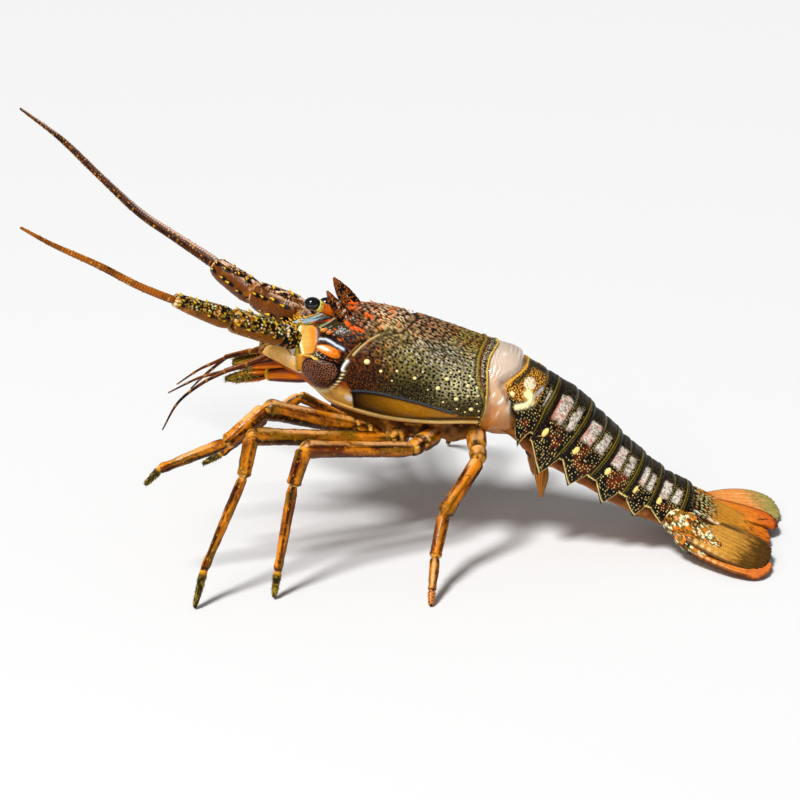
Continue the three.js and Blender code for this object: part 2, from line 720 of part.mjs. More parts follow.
// Short thorns on the thick base of a feeler, set on its upper and outer sides.
function feelerThorns(places, side) {
  return range(4).map((i) => {
    const t = 0.2 + 0.22 * i;
    const start = new THREE.Vector3(...places.merus[0]);
    const end = new THREE.Vector3(...places.merus[2]);
    const root = start.clone().lerp(end, t);
    const out = new THREE.Vector3(-0.3, i % 2 ? side * 0.75 : 0, i % 2 ? 0.45 : 1).normalize();
    const radius = THREE.MathUtils.lerp(places.merus[1][3], places.merus[2][3], t);
    const foot = root.clone().addScaledVector(out, radius * 0.75);
    return thorn(foot.toArray(), foot.clone().addScaledVector(out, 6).toArray(), 1.5, 4);
  });
}

function eyeSolid(places) {
  const ball = new THREE.SphereGeometry(eyes.radius, 12, 8);
  ball.scale(1, 0.85, 0.8);
  ball.translate(...places.ball);
  const neck = places.ball.map((value, k) => THREE.MathUtils.lerp(places.root[k], value, 0.85));
  return join(ball, limb([[...places.root, eyes.stalkRadius], [...neck, eyes.stalkRadius + 0.6]], 8));
}

function antennuleSolid(places) {
  return join(limb(places.stem, 6), limb(places.upper, 5), limb(places.lower, 5));
}

// ---- Assembly ----

const lobster = new THREE.Group();

function add(name, geometry, colour, roughness = 0.45) {
  const material = new THREE.MeshStandardMaterial({ color: colour, roughness, metalness: 0 });
  const mesh = new THREE.Mesh(geometry, material);
  mesh.name = name;
  lobster.add(mesh);
  return geometry;
}

add('carapace', carapaceSolid(), colours.shell);
add('thorax', thoraxSolid(), colours.belly, 0.6);
const thoraxClearance = thoraxSolid(gap);
const membraneClearance = membraneSolid(2.5 * gap);
const firstRing = abdomenRing(abdomenRings[0]);
const firstRingClearance = [-gap, 0, gap].map((lift) => firstRing.clone().translate(-gap, 0, lift));
add('membrane', cut(membraneSolid(), firstRing, ...firstRingClearance), colours.membrane, 0.35);
abdomenRings.forEach((ring, i) => add(`abdomen_${i + 1}`, abdomenRing(ring), colours.shell));
add('abdomen_underside', bellySolid(), colours.belly, 0.6);

const sides = [['left', -1], ['right', 1]];
for (const [word, side] of sides) {
  abdomenRings.slice(1, 5).forEach((ring, i) => {
    add(`swimmeret_${word}_${i + 2}`, swimmeretSolid(ring, side, swimmeret.lean[i]), colours.belly, 0.5);
  });
}

const lastRingClearance = abdomenRing(abdomenRings[abdomenRings.length - 1], gap);
fanBlades.forEach((blade) => add(blade.name, fanBlade(blade), colours.fan, 0.5));
for (const [word, side] of sides) {
  add(`uropod_base_${word}`, cut(uropodBase(side), lastRingClearance), colours.fan, 0.5);
}

add('head', headShape(), colours.head);
for (const [word, side] of sides) {
  const places = antennae[word];
  const base = join(antennaBase(places), ...feelerThorns(places, side));
  add(`antenna_${word}_merus`, cut(base, headClearance, carapaceClearance), colours.feeler, 0.5);
  add(`antenna_${word}_carpus`, limb(places.carpus, 9), colours.feeler, 0.5);
  add(`antenna_${word}_flagellum`, limb(places.flagellum, 7), colours.flagellum, 0.5);
  const hornClearance = limb(grown(hornPlaces(side), 2 * gap), 7);
  const eye = cut(eyeSolid(eyes[word]), headClearance, carapaceClearance, hornClearance);
  add(`eye_${word}`, eye, colours.eye, 0.08);
  add(`antennule_${word}`, cut(antennuleSolid(antennules[word]), headClearance), colours.feeler, 0.5);
  const mouthLeg = cut(limb(maxillipeds[word], 7), headClearance, thoraxClearance, carapaceClearance);
  add(`maxilliped_${word}`, mouthLeg, colours.leg, 0.5);
  legs[word].forEach((leg, i) => {
    const places = upperLegPlaces(leg);
    const neighbours = [thoraxClearance, carapaceClearance, headClearance, membraneClearance];
    const upper = cut(limb(places, legSides), ...neighbours);
    add(`leg_${word}_${i + 1}_upper`, upper, colours.leg, 0.45);
    add(`leg_${word}_${i + 1}_lower`, cut(lowerLeg(leg), limb(grown(places), legSides)), colours.leg, 0.45);
  });
}

// Set down: the lowest point on z = 0, and the middle of the bounding box over the origin.
const bounds = new THREE.Box3().setFromObject(lobster);
const middle = bounds.getCenter(new THREE.Vector3());
lobster.position.set(-middle.x, -middle.y, -bounds.min.z);

export default lobster;
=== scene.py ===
# A raw spiny lobster, standing: shell, skin, feelers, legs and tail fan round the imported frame.
# Shapes are worked out in the frame's millimetres, in the layout of the body axis, and set down in metres.
import math

import bpy
import numpy as np
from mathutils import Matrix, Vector


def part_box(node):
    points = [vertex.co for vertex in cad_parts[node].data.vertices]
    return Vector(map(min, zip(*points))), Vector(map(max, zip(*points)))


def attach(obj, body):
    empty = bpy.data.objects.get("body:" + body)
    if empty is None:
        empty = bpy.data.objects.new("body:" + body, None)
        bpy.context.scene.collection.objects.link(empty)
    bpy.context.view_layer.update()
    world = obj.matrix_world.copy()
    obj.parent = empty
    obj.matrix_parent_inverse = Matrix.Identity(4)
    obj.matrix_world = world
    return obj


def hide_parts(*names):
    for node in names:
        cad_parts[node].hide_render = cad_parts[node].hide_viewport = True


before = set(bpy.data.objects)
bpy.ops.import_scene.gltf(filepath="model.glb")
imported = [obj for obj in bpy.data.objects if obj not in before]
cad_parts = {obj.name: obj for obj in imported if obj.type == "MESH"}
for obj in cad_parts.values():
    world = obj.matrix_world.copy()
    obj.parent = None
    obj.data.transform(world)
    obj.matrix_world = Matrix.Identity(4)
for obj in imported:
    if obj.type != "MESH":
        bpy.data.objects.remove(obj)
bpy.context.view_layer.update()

mm = 0.001
eyeLow = np.array(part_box("eye_left")[0]) / mm
# the left eye's ball ends 55 mm ahead and 18.25 mm left of the layout's zero, which is 86 mm over the floor
setDown = np.array([eyeLow[0] + 55, eyeLow[1] + 18.25, 86])
floorHeight = -86


# ---- numbers ----

def paint(r, g, b):
    # a screen colour from 0 to 255 as linear light: the usual power curve with its straight foot
    c = np.array([r, g, b], float) / 255
    return np.where(c <= 0.04045, c / 12.92, ((c + 0.055) / 1.055) ** 2.4)


def ramp(x, low, high):
    # 0 below low, 1 above high, and a smooth S between them
    t = np.clip((x - low) / (high - low), 0, 1)
    return t * t * (3 - 2 * t)


def fall(x, low, high):
    # 1 below low, 0 above high
    return 1 - ramp(x, low, high)


def signed(x, power):
    # a power that keeps the sign: below 1 it makes a circle's sine and cosine fuller
    return np.sign(x) * np.abs(x) ** power


def turns(count):
    # angles once round
    return np.linspace(0, math.tau, count, endpoint=False)


def bump(x):
    # a bell of height 1 round zero
    return np.exp(-np.square(x))


def light(tone):
    # a plain screen colour turned to light
    return paint(*tone) if isinstance(tone, tuple) else tone


def mix(under, over, mask):
    # colour under, covered by colour over as much as the mask says
    m = np.asarray(mask)[..., None]
    return light(under) * (1 - m) + light(over) * m


def unit(v):
    # vectors brought to length 1
    return v / np.maximum(np.linalg.norm(v, axis=-1, keepdims=True), 1e-9)


def smoothAt(stations, place, column):
    # a cubic between stations whose slope at each is that of the line through its neighbours
    rows = np.asarray(stations, float)
    x, y = rows[:, 0], rows[:, column]
    last = len(x) - 1
    place = np.clip(place, x[0], x[-1])
    i = np.clip(np.searchsorted(x, place, side="left") - 1, 0, last - 1)
    k = np.arange(last + 1)
    below, above = np.maximum(k - 1, 0), np.minimum(k + 1, last)
    slope = (y[above] - y[below]) / (x[above] - x[below])
    span = x[i + 1] - x[i]
    t = (place - x[i]) / span
    return ((2 * t**3 - 3 * t**2 + 1) * y[i] + (t**3 - 2 * t**2 + t) * span * slope[i]
            + (3 * t**2 - 2 * t**3) * y[i + 1] + (t**3 - t**2) * span * slope[i + 1])


def chance(i, j, seed):
    # a repeatable number from 0 to 1 for each pair of whole numbers, by mixing their bits
    h = (i.astype(np.int64) * 374761393 + j.astype(np.int64) * 668265263 + seed * 974634777) & 0xFFFFFFFF
    h = ((h ^ (h >> 13)) * 1274126177) & 0xFFFFFFFF
    h = ((h ^ (h >> 16)) * 2246822519) & 0xFFFFFFFF
    return (h ^ (h >> 15)) / 4294967296.0


def noise(u, v, size, seed, layers=3):
    # chance values on a lattice, blended smoothly, with finer and fainter layers added; about -1 to 1
    total, weight = 0, 0
    for layer in range(layers):
        x, y = u / size * 2**layer, v / size * 2**layer
        i, j = np.floor(x), np.floor(y)
        fx, fy = ramp(x - i, 0, 1), ramp(y - j, 0, 1)
        c = [chance(i + a, j + b, seed + layer) for a, b in ((0, 0), (1, 0), (0, 1), (1, 1))]
        value = (c[0] * (1 - fx) + c[1] * fx) * (1 - fy) + (c[2] * (1 - fx) + c[3] * fx) * fy
        total = total + (value * 2 - 1) * 0.5**layer
        weight += 0.5**layer
    return total / weight


def blotch(u, v, size, seed, low, high):
    # patches: the noise, cut between two levels
    return ramp(noise(u, v, size, seed), low, high)


def cells(u, v, size, seed, jitter=0.75):
    # one scattered centre in each square of a lattice: distances to the nearest and the second, in squares,
    # the nearest centre's own chance, and how far back along u the point lies from it
    x, y = u / size, v / size
    i, j = np.floor(x), np.floor(y)
    near = np.full(np.shape(x), 9.0)
    second = near.copy()
    own, back = np.zeros(np.shape(x)), np.zeros(np.shape(x))
    for a in (-1, 0, 1):
        for b in (-1, 0, 1):
            cx = i + a + 0.5 + jitter * (chance(i + a, j + b, seed) - 0.5)
            cy = j + b + 0.5 + jitter * (chance(i + a, j + b, seed + 7) - 0.5)
            d = np.hypot(x - cx, y - cy)
            closer = d < near
            second = np.where(closer, near, np.minimum(second, d))
            own = np.where(closer, chance(i + a, j + b, seed + 13), own)
            back = np.where(closer, x - cx, back)
            near = np.where(closer, d, near)
    return near, second, own, back


def lineGap(u, v, line):
    # shortest distance from each point to a line through the given places
    best = np.full(np.shape(u), 1e6)
    for (ax, ay), (bx, by) in zip(line[:-1], line[1:]):
        dx, dy = bx - ax, by - ay
        t = np.clip(((u - ax) * dx + (v - ay) * dy) / (dx * dx + dy * dy + 1e-9), 0, 1)
        best = np.minimum(best, np.hypot(u - ax - t * dx, v - ay - t * dy))
    return best


def inside(u, v, corners, soft=0.6):
    # 1 inside a closed outline and 0 outside, softened over a width: edge crossings are counted
    within = np.zeros(np.shape(u), bool)
    ring = list(corners) + [corners[0]]
    for (ax, ay), (bx, by) in zip(ring[:-1], ring[1:]):
        crosses = (ay > v) != (by > v)
        at = ax + (bx - ax) * (v - ay) / (by - ay + 1e-9)
        within ^= crosses & (u < at)
    distance = lineGap(u, v, ring) * np.where(within, 1, -1)
    return ramp(distance, -soft, soft)


# ---- body axis and trunk, as in the frame ----

slopeStations = [
    (-90, 10), (50, 10), (62, 27), (80, 29), (100, 35), (120, 40), (142, 38), (160, 33), (176, 26), (230, 26),
]
axisHeight = 22
axisPlaces = np.arange(-90, 231.0)
axisSlopes = np.radians(smoothAt(slopeStations, (axisPlaces[:-1] + axisPlaces[1:]) / 2, 1))
axisX = np.concatenate([[0], np.cumsum(np.cos(axisSlopes))])
axisZ = np.concatenate([[0], -np.cumsum(np.sin(axisSlopes))])
axisX -= axisX[90]
axisZ += axisHeight - axisZ[90]

# distance along the axis, crest height, half width, height of the widest line, lower rim
trunkStations = [
    (-84, 3, 9, -1, -6), (-76, 9, 15, 0, -7), (-66, 15, 21, 2, -9), (-56, 19, 26, 3, -11),
    (-46, 25, 30, 3, -15), (-36, 31, 32, 1, -21), (-20, 33.5, 34, -1, -24), (0, 32.5, 35, -2, -25),
    (25, 28.5, 34, -2, -23.3), (42, 25.5, 32, -1, -20.5), (56, 23.7, 29.5, 0, -18.5),
]
rimAngle = 2.36
sideFullness = 0.85
girth = 33  # a mean radius: turns an angle round the trunk into millimetres


def bodyPoint(s, y, h):
    # the point s along the axis, y to the lobster's right and h square to the axis
    slope = np.radians(smoothAt(slopeStations, s, 1))
    x, z = np.interp(s, axisPlaces, axisX), np.interp(s, axisPlaces, axisZ)
    return np.stack(np.broadcast_arrays(x + h * np.sin(slope), y, z + h * np.cos(slope)), -1)


def trunkPoint(s, angle):
    # an ellipse-like arch over the axis: fuller at the sides, with a longer rise above its widest line
    crest, halfWidth, widest, rim = (smoothAt(trunkStations, s, k) for k in (1, 2, 3, 4))
    across = np.sin(angle)
    rise = np.where(np.cos(angle) > 0, crest - widest, (widest - rim) / -math.cos(rimAngle))
    y = halfWidth * signed(across, sideFullness)
    return bodyPoint(s, y, widest + rise * np.cos(angle))


# ---- meshes ----

def gridNormals(points, closed=False):
    # cross product of the two grid directions
    along = np.gradient(points, axis=0)
    if closed:
        around = (np.roll(points, -1, 1) - np.roll(points, 1, 1)) / 2
    else:
        around = np.gradient(points, axis=1)
    return unit(np.cross(along, around))


def outward(points, normals, centre):
    # normals turned to point away from the centre line
    away = np.sum(normals * (points - centre), -1)
    return normals if away.mean() > 0 else -normals


def closedParts(points, tint, rough):
    # items of rows of rings, joined row to row, with a fan over each end
    count, rows, cols = points.shape[:3]
    index = np.arange(rows * cols).reshape(rows, cols)
    right = np.roll(index, -1, 1)
    quads = np.stack([index[:-1], right[:-1], right[1:], index[1:]], -1).reshape(-1, 4)
    ends = np.full(cols, rows * cols)
    fans = [(ends, right[0], index[0]), (ends + 1, index[-1], right[-1])]
    tris = np.concatenate([np.stack(fan, -1) for fan in fans])
    offset = np.arange(count)[:, None, None] * (rows * cols + 2)

    def withEnds(values):
        # the rings' values, and each end's mean for the middle of its fan
        width = values.shape[-1]
        flat = values.reshape(count, rows * cols, width)
        return np.concatenate([flat, values[:, :1].mean(2), values[:, -1:].mean(2)], 1).reshape(-1, width)

    tint = np.broadcast_to(tint, points.shape)
    rough = np.broadcast_to(rough, points.shape[:3])[..., None]
    return faceOut({"points": withEnds(points), "quads": (quads + offset).reshape(-1, 4),
                    "tris": (tris + offset).reshape(-1, 3), "tint": withEnds(tint),
                    "rough": withEnds(rough)[:, 0]})


def closedPart(points, tint, rough=0.35):
    return closedParts(points[None], tint, rough)


def faceOut(part):
    # turns all faces if the volume that they enclose comes out negative
    p, q, t = part["points"], part["quads"], part["tris"]
    three = np.concatenate([q[:, [0, 1, 2]], q[:, [0, 2, 3]], t])
    if np.sum(p[three[:, 0]] * np.cross(p[three[:, 1]], p[three[:, 2]])) < 0:
        part["quads"], part["tris"] = q[:, ::-1], t[:, ::-1]
    return part


def slabPart(top, thickness, normals, tint, rough, underTint=None):
    # a thin sheet: the grid, a second one below it, and a strip of faces round the edge
    rows, cols = top.shape[:2]
    index = np.arange(rows * cols).reshape(rows, cols)
    upper = np.stack([index[:-1, :-1], index[:-1, 1:], index[1:, 1:], index[1:, :-1]], -1).reshape(-1, 4)
    edge = np.concatenate([index[0, :-1], index[:-1, -1], index[-1, :0:-1], index[:0:-1, 0]])
    nextEdge = np.roll(edge, -1)
    strip = np.stack([nextEdge, edge, edge + rows * cols, nextEdge + rows * cols], -1)
    underTint = tint if underTint is None else underTint
    return faceOut({
        "points": np.concatenate([top, top - normals * thickness]).reshape(-1, 3),
        "quads": np.concatenate([upper, upper[:, ::-1] + rows * cols, strip]), "tris": np.zeros((0, 3), int),
        "tint": np.concatenate([tint, underTint]).reshape(-1, 3), "rough": np.full(2 * rows * cols, rough),
    })


def limbGrid(places, sides, step=0.8, blunt=0.6):
    # a smooth curve through the places x, y, z, radius, and rings round it whose radius closes at both ends
    # as a quarter ellipse
    rows = np.asarray(places, float)
    length = np.concatenate([[0], np.cumsum(np.linalg.norm(np.diff(rows[:, :3], axis=0), axis=1))])
    stations = np.column_stack([length, rows])
    total = length[-1]
    startCap, endCap = blunt * rows[0, 3], blunt * rows[-1, 3]
    turn = 1 - np.cos(np.linspace(0, math.pi / 2, 6)[:-1])
    count = max(int((total - startCap - endCap) / step), 2)
    middle = np.linspace(startCap, total - endCap, count + 1)
    along = np.concatenate([startCap * turn, middle, total - endCap * turn[::-1]])
    centre = np.stack([smoothAt(stations, along, k) for k in (1, 2, 3)], -1)
    radius = np.maximum(smoothAt(stations, along, 4), 0.05)
    toStart = np.clip((startCap - along) / startCap, 0, 1)
    toEnd = np.clip((along - total + endCap) / endCap, 0, 1)
    radius = radius * np.sqrt(np.maximum(1 - np.maximum(toStart, toEnd) ** 2, 1e-4))
    tangent = unit(np.gradient(centre, axis=0))
    facing = np.linalg.svd(rows[:, :3] - rows[:, :3].mean(0))[2][2]
    facing = facing * (1 if facing[1] >= 0 else -1)
    side = unit(facing - tangent * (tangent @ facing)[:, None])
    up = np.cross(tangent, side)
    angle = turns(sides)
    out = side[:, None] * np.cos(angle)[:, None] + up[:, None] * np.sin(angle)[:, None]
    along, angle = np.broadcast_arrays(along[:, None], angle)
    return {"centre": centre[:, None], "out": out, "radius": radius[:, None], "along": along, "angle": angle,
            "share": along / total, "lift": out[..., 2], "fold": np.abs(angle - math.pi) * radius.max()}


def limbPoints(grid, relief=0):
    # ring points at the radius plus the relief, which fades where the ends close
    fade = np.minimum(1, grid["radius"] / np.maximum(grid["radius"].max() * 0.35, 1e-6))
    return grid["centre"] + grid["out"] * (grid["radius"] + np.asarray(relief) * fade)[..., None]


def spikes(roots, directions, lengths, radii, baseTint, tipTint, sides=8, rows=6, hook=0, tipAt=(0.35, 0.7)):
    # cones that thin with (1 - t) to a power, each along its own direction and bent upwards by the hook
    count = len(roots)
    directions = unit(directions)
    lengths, radii = (np.broadcast_to(size, count)[:, None, None] for size in (lengths, radii))
    helper = np.where(np.abs(directions[:, 2:]) < 0.8, [[0, 0, 1]], [[1, 0, 0]])
    side = unit(np.cross(directions, helper))[:, None]
    up = np.cross(side[:, 0], directions)[:, None]
    t, angle = np.linspace(0, 1, rows)[:, None], turns(sides)[:, None]
    centre = roots[:, None] + directions[:, None] * lengths * t + up * hook * lengths * t**2
    ring = side * np.cos(angle) + up * np.sin(angle)
    points = centre[:, :, None] + ring[:, None] * (radii * np.maximum((1 - t) ** 0.9, 0.04))[..., None]
    base, tip = (np.broadcast_to(light(tone), (count, 3))[:, None, None] for tone in (baseTint, tipTint))
    return closedParts(points, mix(base, tip, ramp(t, *tipAt)), 0.3)


def domes(centres, normals, radii, tint, edgeTint, sides=12, rows=5):
    # half balls on a surface: sin and cos of an angle from the top down, sunk a little below the surface
    normals = unit(normals)
    side = unit(np.cross(normals, [1, 0, 0]))
    ahead = np.cross(side, normals)[:, None]
    down, angle = np.linspace(0.08, 1.75, rows)[:, None], turns(sides)[:, None]
    ring = side[:, None] * np.cos(angle) + 1.15 * ahead * np.sin(angle)
    radii = radii[:, None, None]
    points = (centres[:, None] + normals[:, None] * 0.9412 * radii * np.cos(down))[:, :, None] + (
        ring[:, None] * (radii * np.sin(down))[..., None])
    return closedParts(points, mix(tint, edgeTint, ramp(down, 0.9, 1.5)), 0.2)


def rooted(grid, points, pick, rows, count):
    # random places on a limb between two of its rows, the direction out of it, and their rows and columns
    row, column = pick.integers(*rows, count), pick.integers(0, points.shape[1], count)
    return points[row, column], grid["out"][row, column], row, column


def linked(name, data):
    # an object in the scene for its data
    made = bpy.data.objects.new(name, data)
    bpy.context.scene.collection.objects.link(made)
    return made


def makePiece(name, parts, material, nodes, deep=1.24):
    # one mesh in metres from the parts; each point keeps its colour, deepened by a power, and its roughness
    starts = np.cumsum([0] + [len(p["points"]) for p in parts])
    points, tint, rough = (np.concatenate([p[key] for p in parts]) for key in ("points", "tint", "rough"))
    faces = []
    for key in ("quads", "tris"):
        faces += np.concatenate([p[key] + start for p, start in zip(parts, starts)]).tolist()
    mesh = bpy.data.meshes.new(name)
    mesh.from_pydata((points + setDown) * mm, [], faces)
    tint = np.clip(1.3 ** (4 * (deep - 1)) * np.clip(tint, 0, 1) ** deep, 0, 0.95)
    rgba = np.concatenate([tint, np.ones((len(tint), 1))], 1).astype(np.float32)
    mesh.attributes.new("tint", "FLOAT_COLOR", "POINT").data.foreach_set("color", rgba.ravel())
    mesh.attributes.new("rough", "FLOAT", "POINT").data.foreach_set("value", rough.astype(np.float32))
    mesh.shade_smooth()
    mesh.materials.append(material)
    piece = linked(name, mesh)
    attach(piece, "root")
    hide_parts(*nodes)


# ---- materials ----

def shellMaterial(name, grain, grainSize, grainDepth, wet, glow=0, glowColour=(1, 1, 1)):
    # painted shell: the point colours with fine mottling, a fine grain as bump, and a wet coat
    material = bpy.data.materials.new(name)
    material.use_nodes = True
    nodes, links = material.node_tree.nodes, material.node_tree.links

    def node(kind, sources, **values):
        # a new node of one kind, its plain values, and what feeds its sockets
        made = nodes.new("ShaderNode" + kind) if isinstance(kind, str) else kind
        for socket, value in values.items():
            made.inputs[socket.replace("_", " ")].default_value = value
        for socket, source in sources.items():
            links.new(source, made.inputs[socket])
        return made

    place = node("TexCoord", {}).outputs["Object"]
    tint, rough = node("Attribute", {}), node("Attribute", {})
    tint.attribute_name, rough.attribute_name = "tint", "rough"
    mottle = node("TexNoise", {"Vector": place}, Scale=1 / (grainSize * 2.2 * mm), Detail=4).outputs["Fac"]
    spread = node("MapRange", {"Value": mottle}, From_Min=0.3, From_Max=0.7, To_Min=1 - grain, To_Max=1 + grain)
    shade = node("VectorMath", {0: tint.outputs["Color"]})
    shade.operation = "SCALE"
    links.new(spread.outputs["Result"], shade.inputs["Scale"])
    fine = node("TexVoronoi", {"Vector": place}, Scale=1 / (grainSize * mm))
    height = node("Math", {0: fine.outputs["Distance"], 1: mottle})
    relief = node("Bump", {"Height": height.outputs["Value"]}, Strength=0.6, Distance=grainDepth * mm)
    shader = node(nodes["Principled BSDF"], {
        "Base Color": shade.outputs["Vector"], "Roughness": rough.outputs["Fac"],
        "Normal": relief.outputs["Normal"],
    }, Specular_IOR_Level=0.1, Coat_Weight=wet, Coat_Roughness=0.08)
    if glow:
        node(shader, {}, Subsurface_Weight=glow, Subsurface_Radius=glowColour, Subsurface_Scale=0.004)
    return material


shellFinish = shellMaterial("wetShell", 0.12, 0.5, 0.06, wet=0.04)
headFinish = shellMaterial("headShell", 0.14, 0.6, 0.06, wet=0.05)
ringFinish = shellMaterial("ringShell", 0.1, 0.5, 0.04, wet=0.06)
legFinish = shellMaterial("legShell", 0.12, 0.9, 0.05, wet=0.1)
whipFinish = shellMaterial("whipShell", 0.12, 0.5, 0.03, wet=0.05)
fanFinish = shellMaterial("fanBlade", 0.14, 0.7, 0.05, wet=0.05, glow=0.08, glowColour=(1, 0.4, 0.15))
fleshFinish = shellMaterial("softFlesh", 0.12, 1.6, 0.1, wet=0.12, glow=0.15, glowColour=(1, 0.4, 0.2))
skinFinish = shellMaterial("neckSkin", 0.05, 1.4, 0.05, wet=0.6, glow=0.35, glowColour=(1, 0.5, 0.4))
eyeFinish = shellMaterial("eyeGloss", 0.04, 0.5, 0, wet=1)
print("numbers and materials ready")


# ---- trunk colours and relief, shared by the carapace and the head ----

# zones of the trunk: place along the axis, angle from the crest, light and dark colour, and the shares of
# scales, net and dots
trunkZones = {
    "frontTop": (-30, 0.3, (166, 110, 62), (50, 20, 4), (1, 0, 0)),
    "frontFlank": (-30, 1, (128, 62, 14), (44, 17, 4), (0.7, 0, 0.1)),
    "behindHorns": (-14, 0.3, (236, 208, 174), (88, 52, 18), (1, 0, 0)),
    "saddle": (17, 0.3, (184, 146, 106), (56, 30, 12), (1, 0, 0)),
    "rearTop": (41, 0.3, (206, 186, 104), (42, 32, 10), (0.6, 0.5, 0)),
    "upperSide": (24, 0.62, (200, 190, 146), (24, 17, 6), (0.7, 0.4, 0)),
    "shoulder": (-6, 0.8, (196, 172, 92), (22, 11, 4), (0.5, 0.5, 0)),
    "foreFlank": (-17, 1.1, (156, 92, 30), (16, 7, 2), (0.4, 0.5, 0.2)),
    "flank": (6, 1.02, (190, 172, 98), (12, 8, 3), (0.1, 1, 0)),
    "brightFlank": (26, 1, (182, 172, 128), (12, 8, 3), (0.25, 1, 0)),
    "rearFlank": (42, 1.35, (252, 240, 190), (14, 9, 3), (0, 1, 0)),
    "lowFront": (-18, 1.6, (150, 88, 26), (14, 6, 2), (0, 0.1, 1)),
    "low": (8, 1.6, (136, 118, 52), (10, 6, 2), (0, 0.1, 1)),
    "lowRear": (42, 1.85, (168, 148, 80), (8, 5, 2), (0, 0.3, 1)),
    "brow": (-50, 0.3, (150, 130, 62), (30, 22, 8), (0.6, 0.4, 0)),
    "snout": (-72, 0.5, (190, 150, 60), (20, 13, 5), (0.3, 0, 0.8)),
    "jaw": (-62, 1.9, (206, 152, 70), (126, 72, 18), (0.2, 0.1, 0.1)),
}
zoneReach = (12, 0.3)


def onTrunk(path):
    # places given along the axis and as an angle, with the angle turned into millimetres
    return [(s, a * girth) for s, a in path]


neckGroove = onTrunk([(4, 0), (3.3, 0.09), (-1.9, 0.51), (-12, 0.66), (-19, 0.8), (-24, 0.98)])
blueRidge = onTrunk([(-23.7, 1.83), (-17, 1.76), (-10.1, 1.73), (-3, 1.725), (4.7, 1.74), (16.5, 1.785),
                     (26, 1.86), (34.6, 1.95), (37, 1.99)])
smoothPanel = blueRidge + onTrunk([(40, 2.06), (39, 2.12), (32, 2.19), (12, 2.21), (-6, 2.22), (-21, 2.26)])
paleCorner = onTrunk([(-23.9, 1.83), (-21, 2.4), (-50, 2.4), (-44, 2.2), (-38, 2), (-33.3, 1.76),
                      (-28, 1.68)])
bandLine = onTrunk([(47.3, 0), (46.6, 0.2), (45.1, 0.65), (46, 0.95), (47.2, 1.16), (51, 1.45), (54.5, 1.75)])
rearEdge = [(0, 53.6), (0.2, 53), (0.63, 51.2), (0.9, 51.4), (1.12, 52.4), (1.6, 54.6), (1.9, 56.2),
            (2.1, 56.9), (2.25, 56.4), (2.36, 54.5)]
greyBrow = onTrunk([(-49, 0.54), (-41, 0.38), (-34, 0.2), (-29, 0.42), (-27.5, 0.72), (-33, 0.88),
                    (-42, 0.78), (-47, 0.68)])

# painted lines: path, half width, colour, strength, rise
trunkLines = {
    "browDark": ([(-33, 0.16), (-41, 0.38), (-49, 0.54)], 1.5, (28, 20, 8), 0.9, -0.5),
    "browPale": ([(-32, 0.1), (-41.5, 0.34), (-49.2, 0.5)], 0.6, (160, 162, 120), 0.95, 0.5),
    "redStreak": ([(-55, 0.17), (-50, 0.27), (-44, 0.36)], 1, (214, 78, 22), 0.95, 0.2),
    "blueBrow": ([(-64, 0.05), (-58, 0.02), (-52, 0.08), (-45, 0.2)], 0.9, (158, 190, 204), 0.9, 0.3),
    "blackUnder": ([(-49, 0.72), (-45, 0.78), (-40, 0.88), (-36, 0.98)], 1.5, (18, 12, 6), 0.95, -0.9),
    "blueFront": ([(-52, 0.48), (-50.6, 0.62), (-49.6, 0.8), (-49.8, 1), (-50.8, 1.15)], 0.75,
                  (140, 178, 210), 0.95, 0.2),
    "blueArch": ([(-51.2, 1.22), (-49.6, 1), (-47.6, 0.9), (-43.9, 0.92), (-36.9, 1.06), (-32.3, 1.11)], 0.85,
                 (196, 214, 228), 1, 0.8),
    "orangeOne": ([(-36.9, 0.44), (-33, 0.56), (-29.3, 0.69)], 1, (226, 104, 20), 0.95, 0.8),
    "orangeTwo": ([(-28.3, 0.64), (-23.1, 0.71)], 0.9, (216, 96, 24), 0.95, 0.6),
    "orangeThree": ([(-23.3, 0.28), (-19.9, 0.35)], 1, (224, 112, 24), 0.9, 0.5),
    "orangeFour": ([(-36, 0.2), (-31.5, 0.06)], 1.3, (226, 106, 26), 0.95, 0.6),
    "orangeFive": ([(-10.9, 0.03), (-7.3, 0.1)], 0.7, (216, 120, 44), 0.9, 0.4),
    "edgeDark": ([(-21, 0.86), (-25, 1.03), (-29, 1.22), (-32, 1.38), (-34, 1.5)], 1.3, (34, 20, 8), 0.9, -1.3),
    "edgeOlive": ([(-23, 0.93), (-27, 1.1), (-30.4, 1.3)], 0.5, (150, 116, 50), 0.85, 0.2),
    "edgeCream": ([(-13, 0.7), (-18, 0.84), (-22.3, 1), (-26, 1.17)], 0.75, (206, 182, 130), 0.85, 0.9),
    "edgeWhite": ([(-28.6, 1.30), (-30, 1.38), (-30.9, 1.48)], 0.9, (248, 244, 232), 0.98, 1.2),
    "edgeTeeth": ([(-29.6, 1.50), (-31.2, 1.66), (-33.8, 1.82), (-37.2, 1.99), (-41.5, 2.2), (-46, 2.29)], 1,
                  (240, 222, 176), 0.95, 1.2),
}

# cream knobs on the flank: place, angle, radius
knobs = [
    (-17.3, 1.23, 2.1), (-8.5, 1.33, 1.2), (0.7, 1.27, 1), (-1.3, 1.45, 0.7), (11.5, 1.33, 1.3),
    (25.6, 1.44, 1.6), (29.8, 1.24, 1.5), (37, 1.63, 1.6), (29.8, 1.72, 0.8), (42.4, 1.32, 1.4),
    (42.4, 1.1, 1), (43.4, 1.55, 0.9), (49.2, 1.53, 0.9), (46.6, 1.86, 1.6), (38.4, 1.87, 0.8),
    (43.4, 1.95, 0.8), (49.4, 1.72, 0.8), (51.4, 1.91, 0.8), (52.4, 2.1, 0.8), (47.6, 1.34, 1.1),
    (36, 1.05, 0.9), (15.5, 1.19, 0.8), (31.6, 1.1, 0.8), (20, 1.5, 0.6),
]


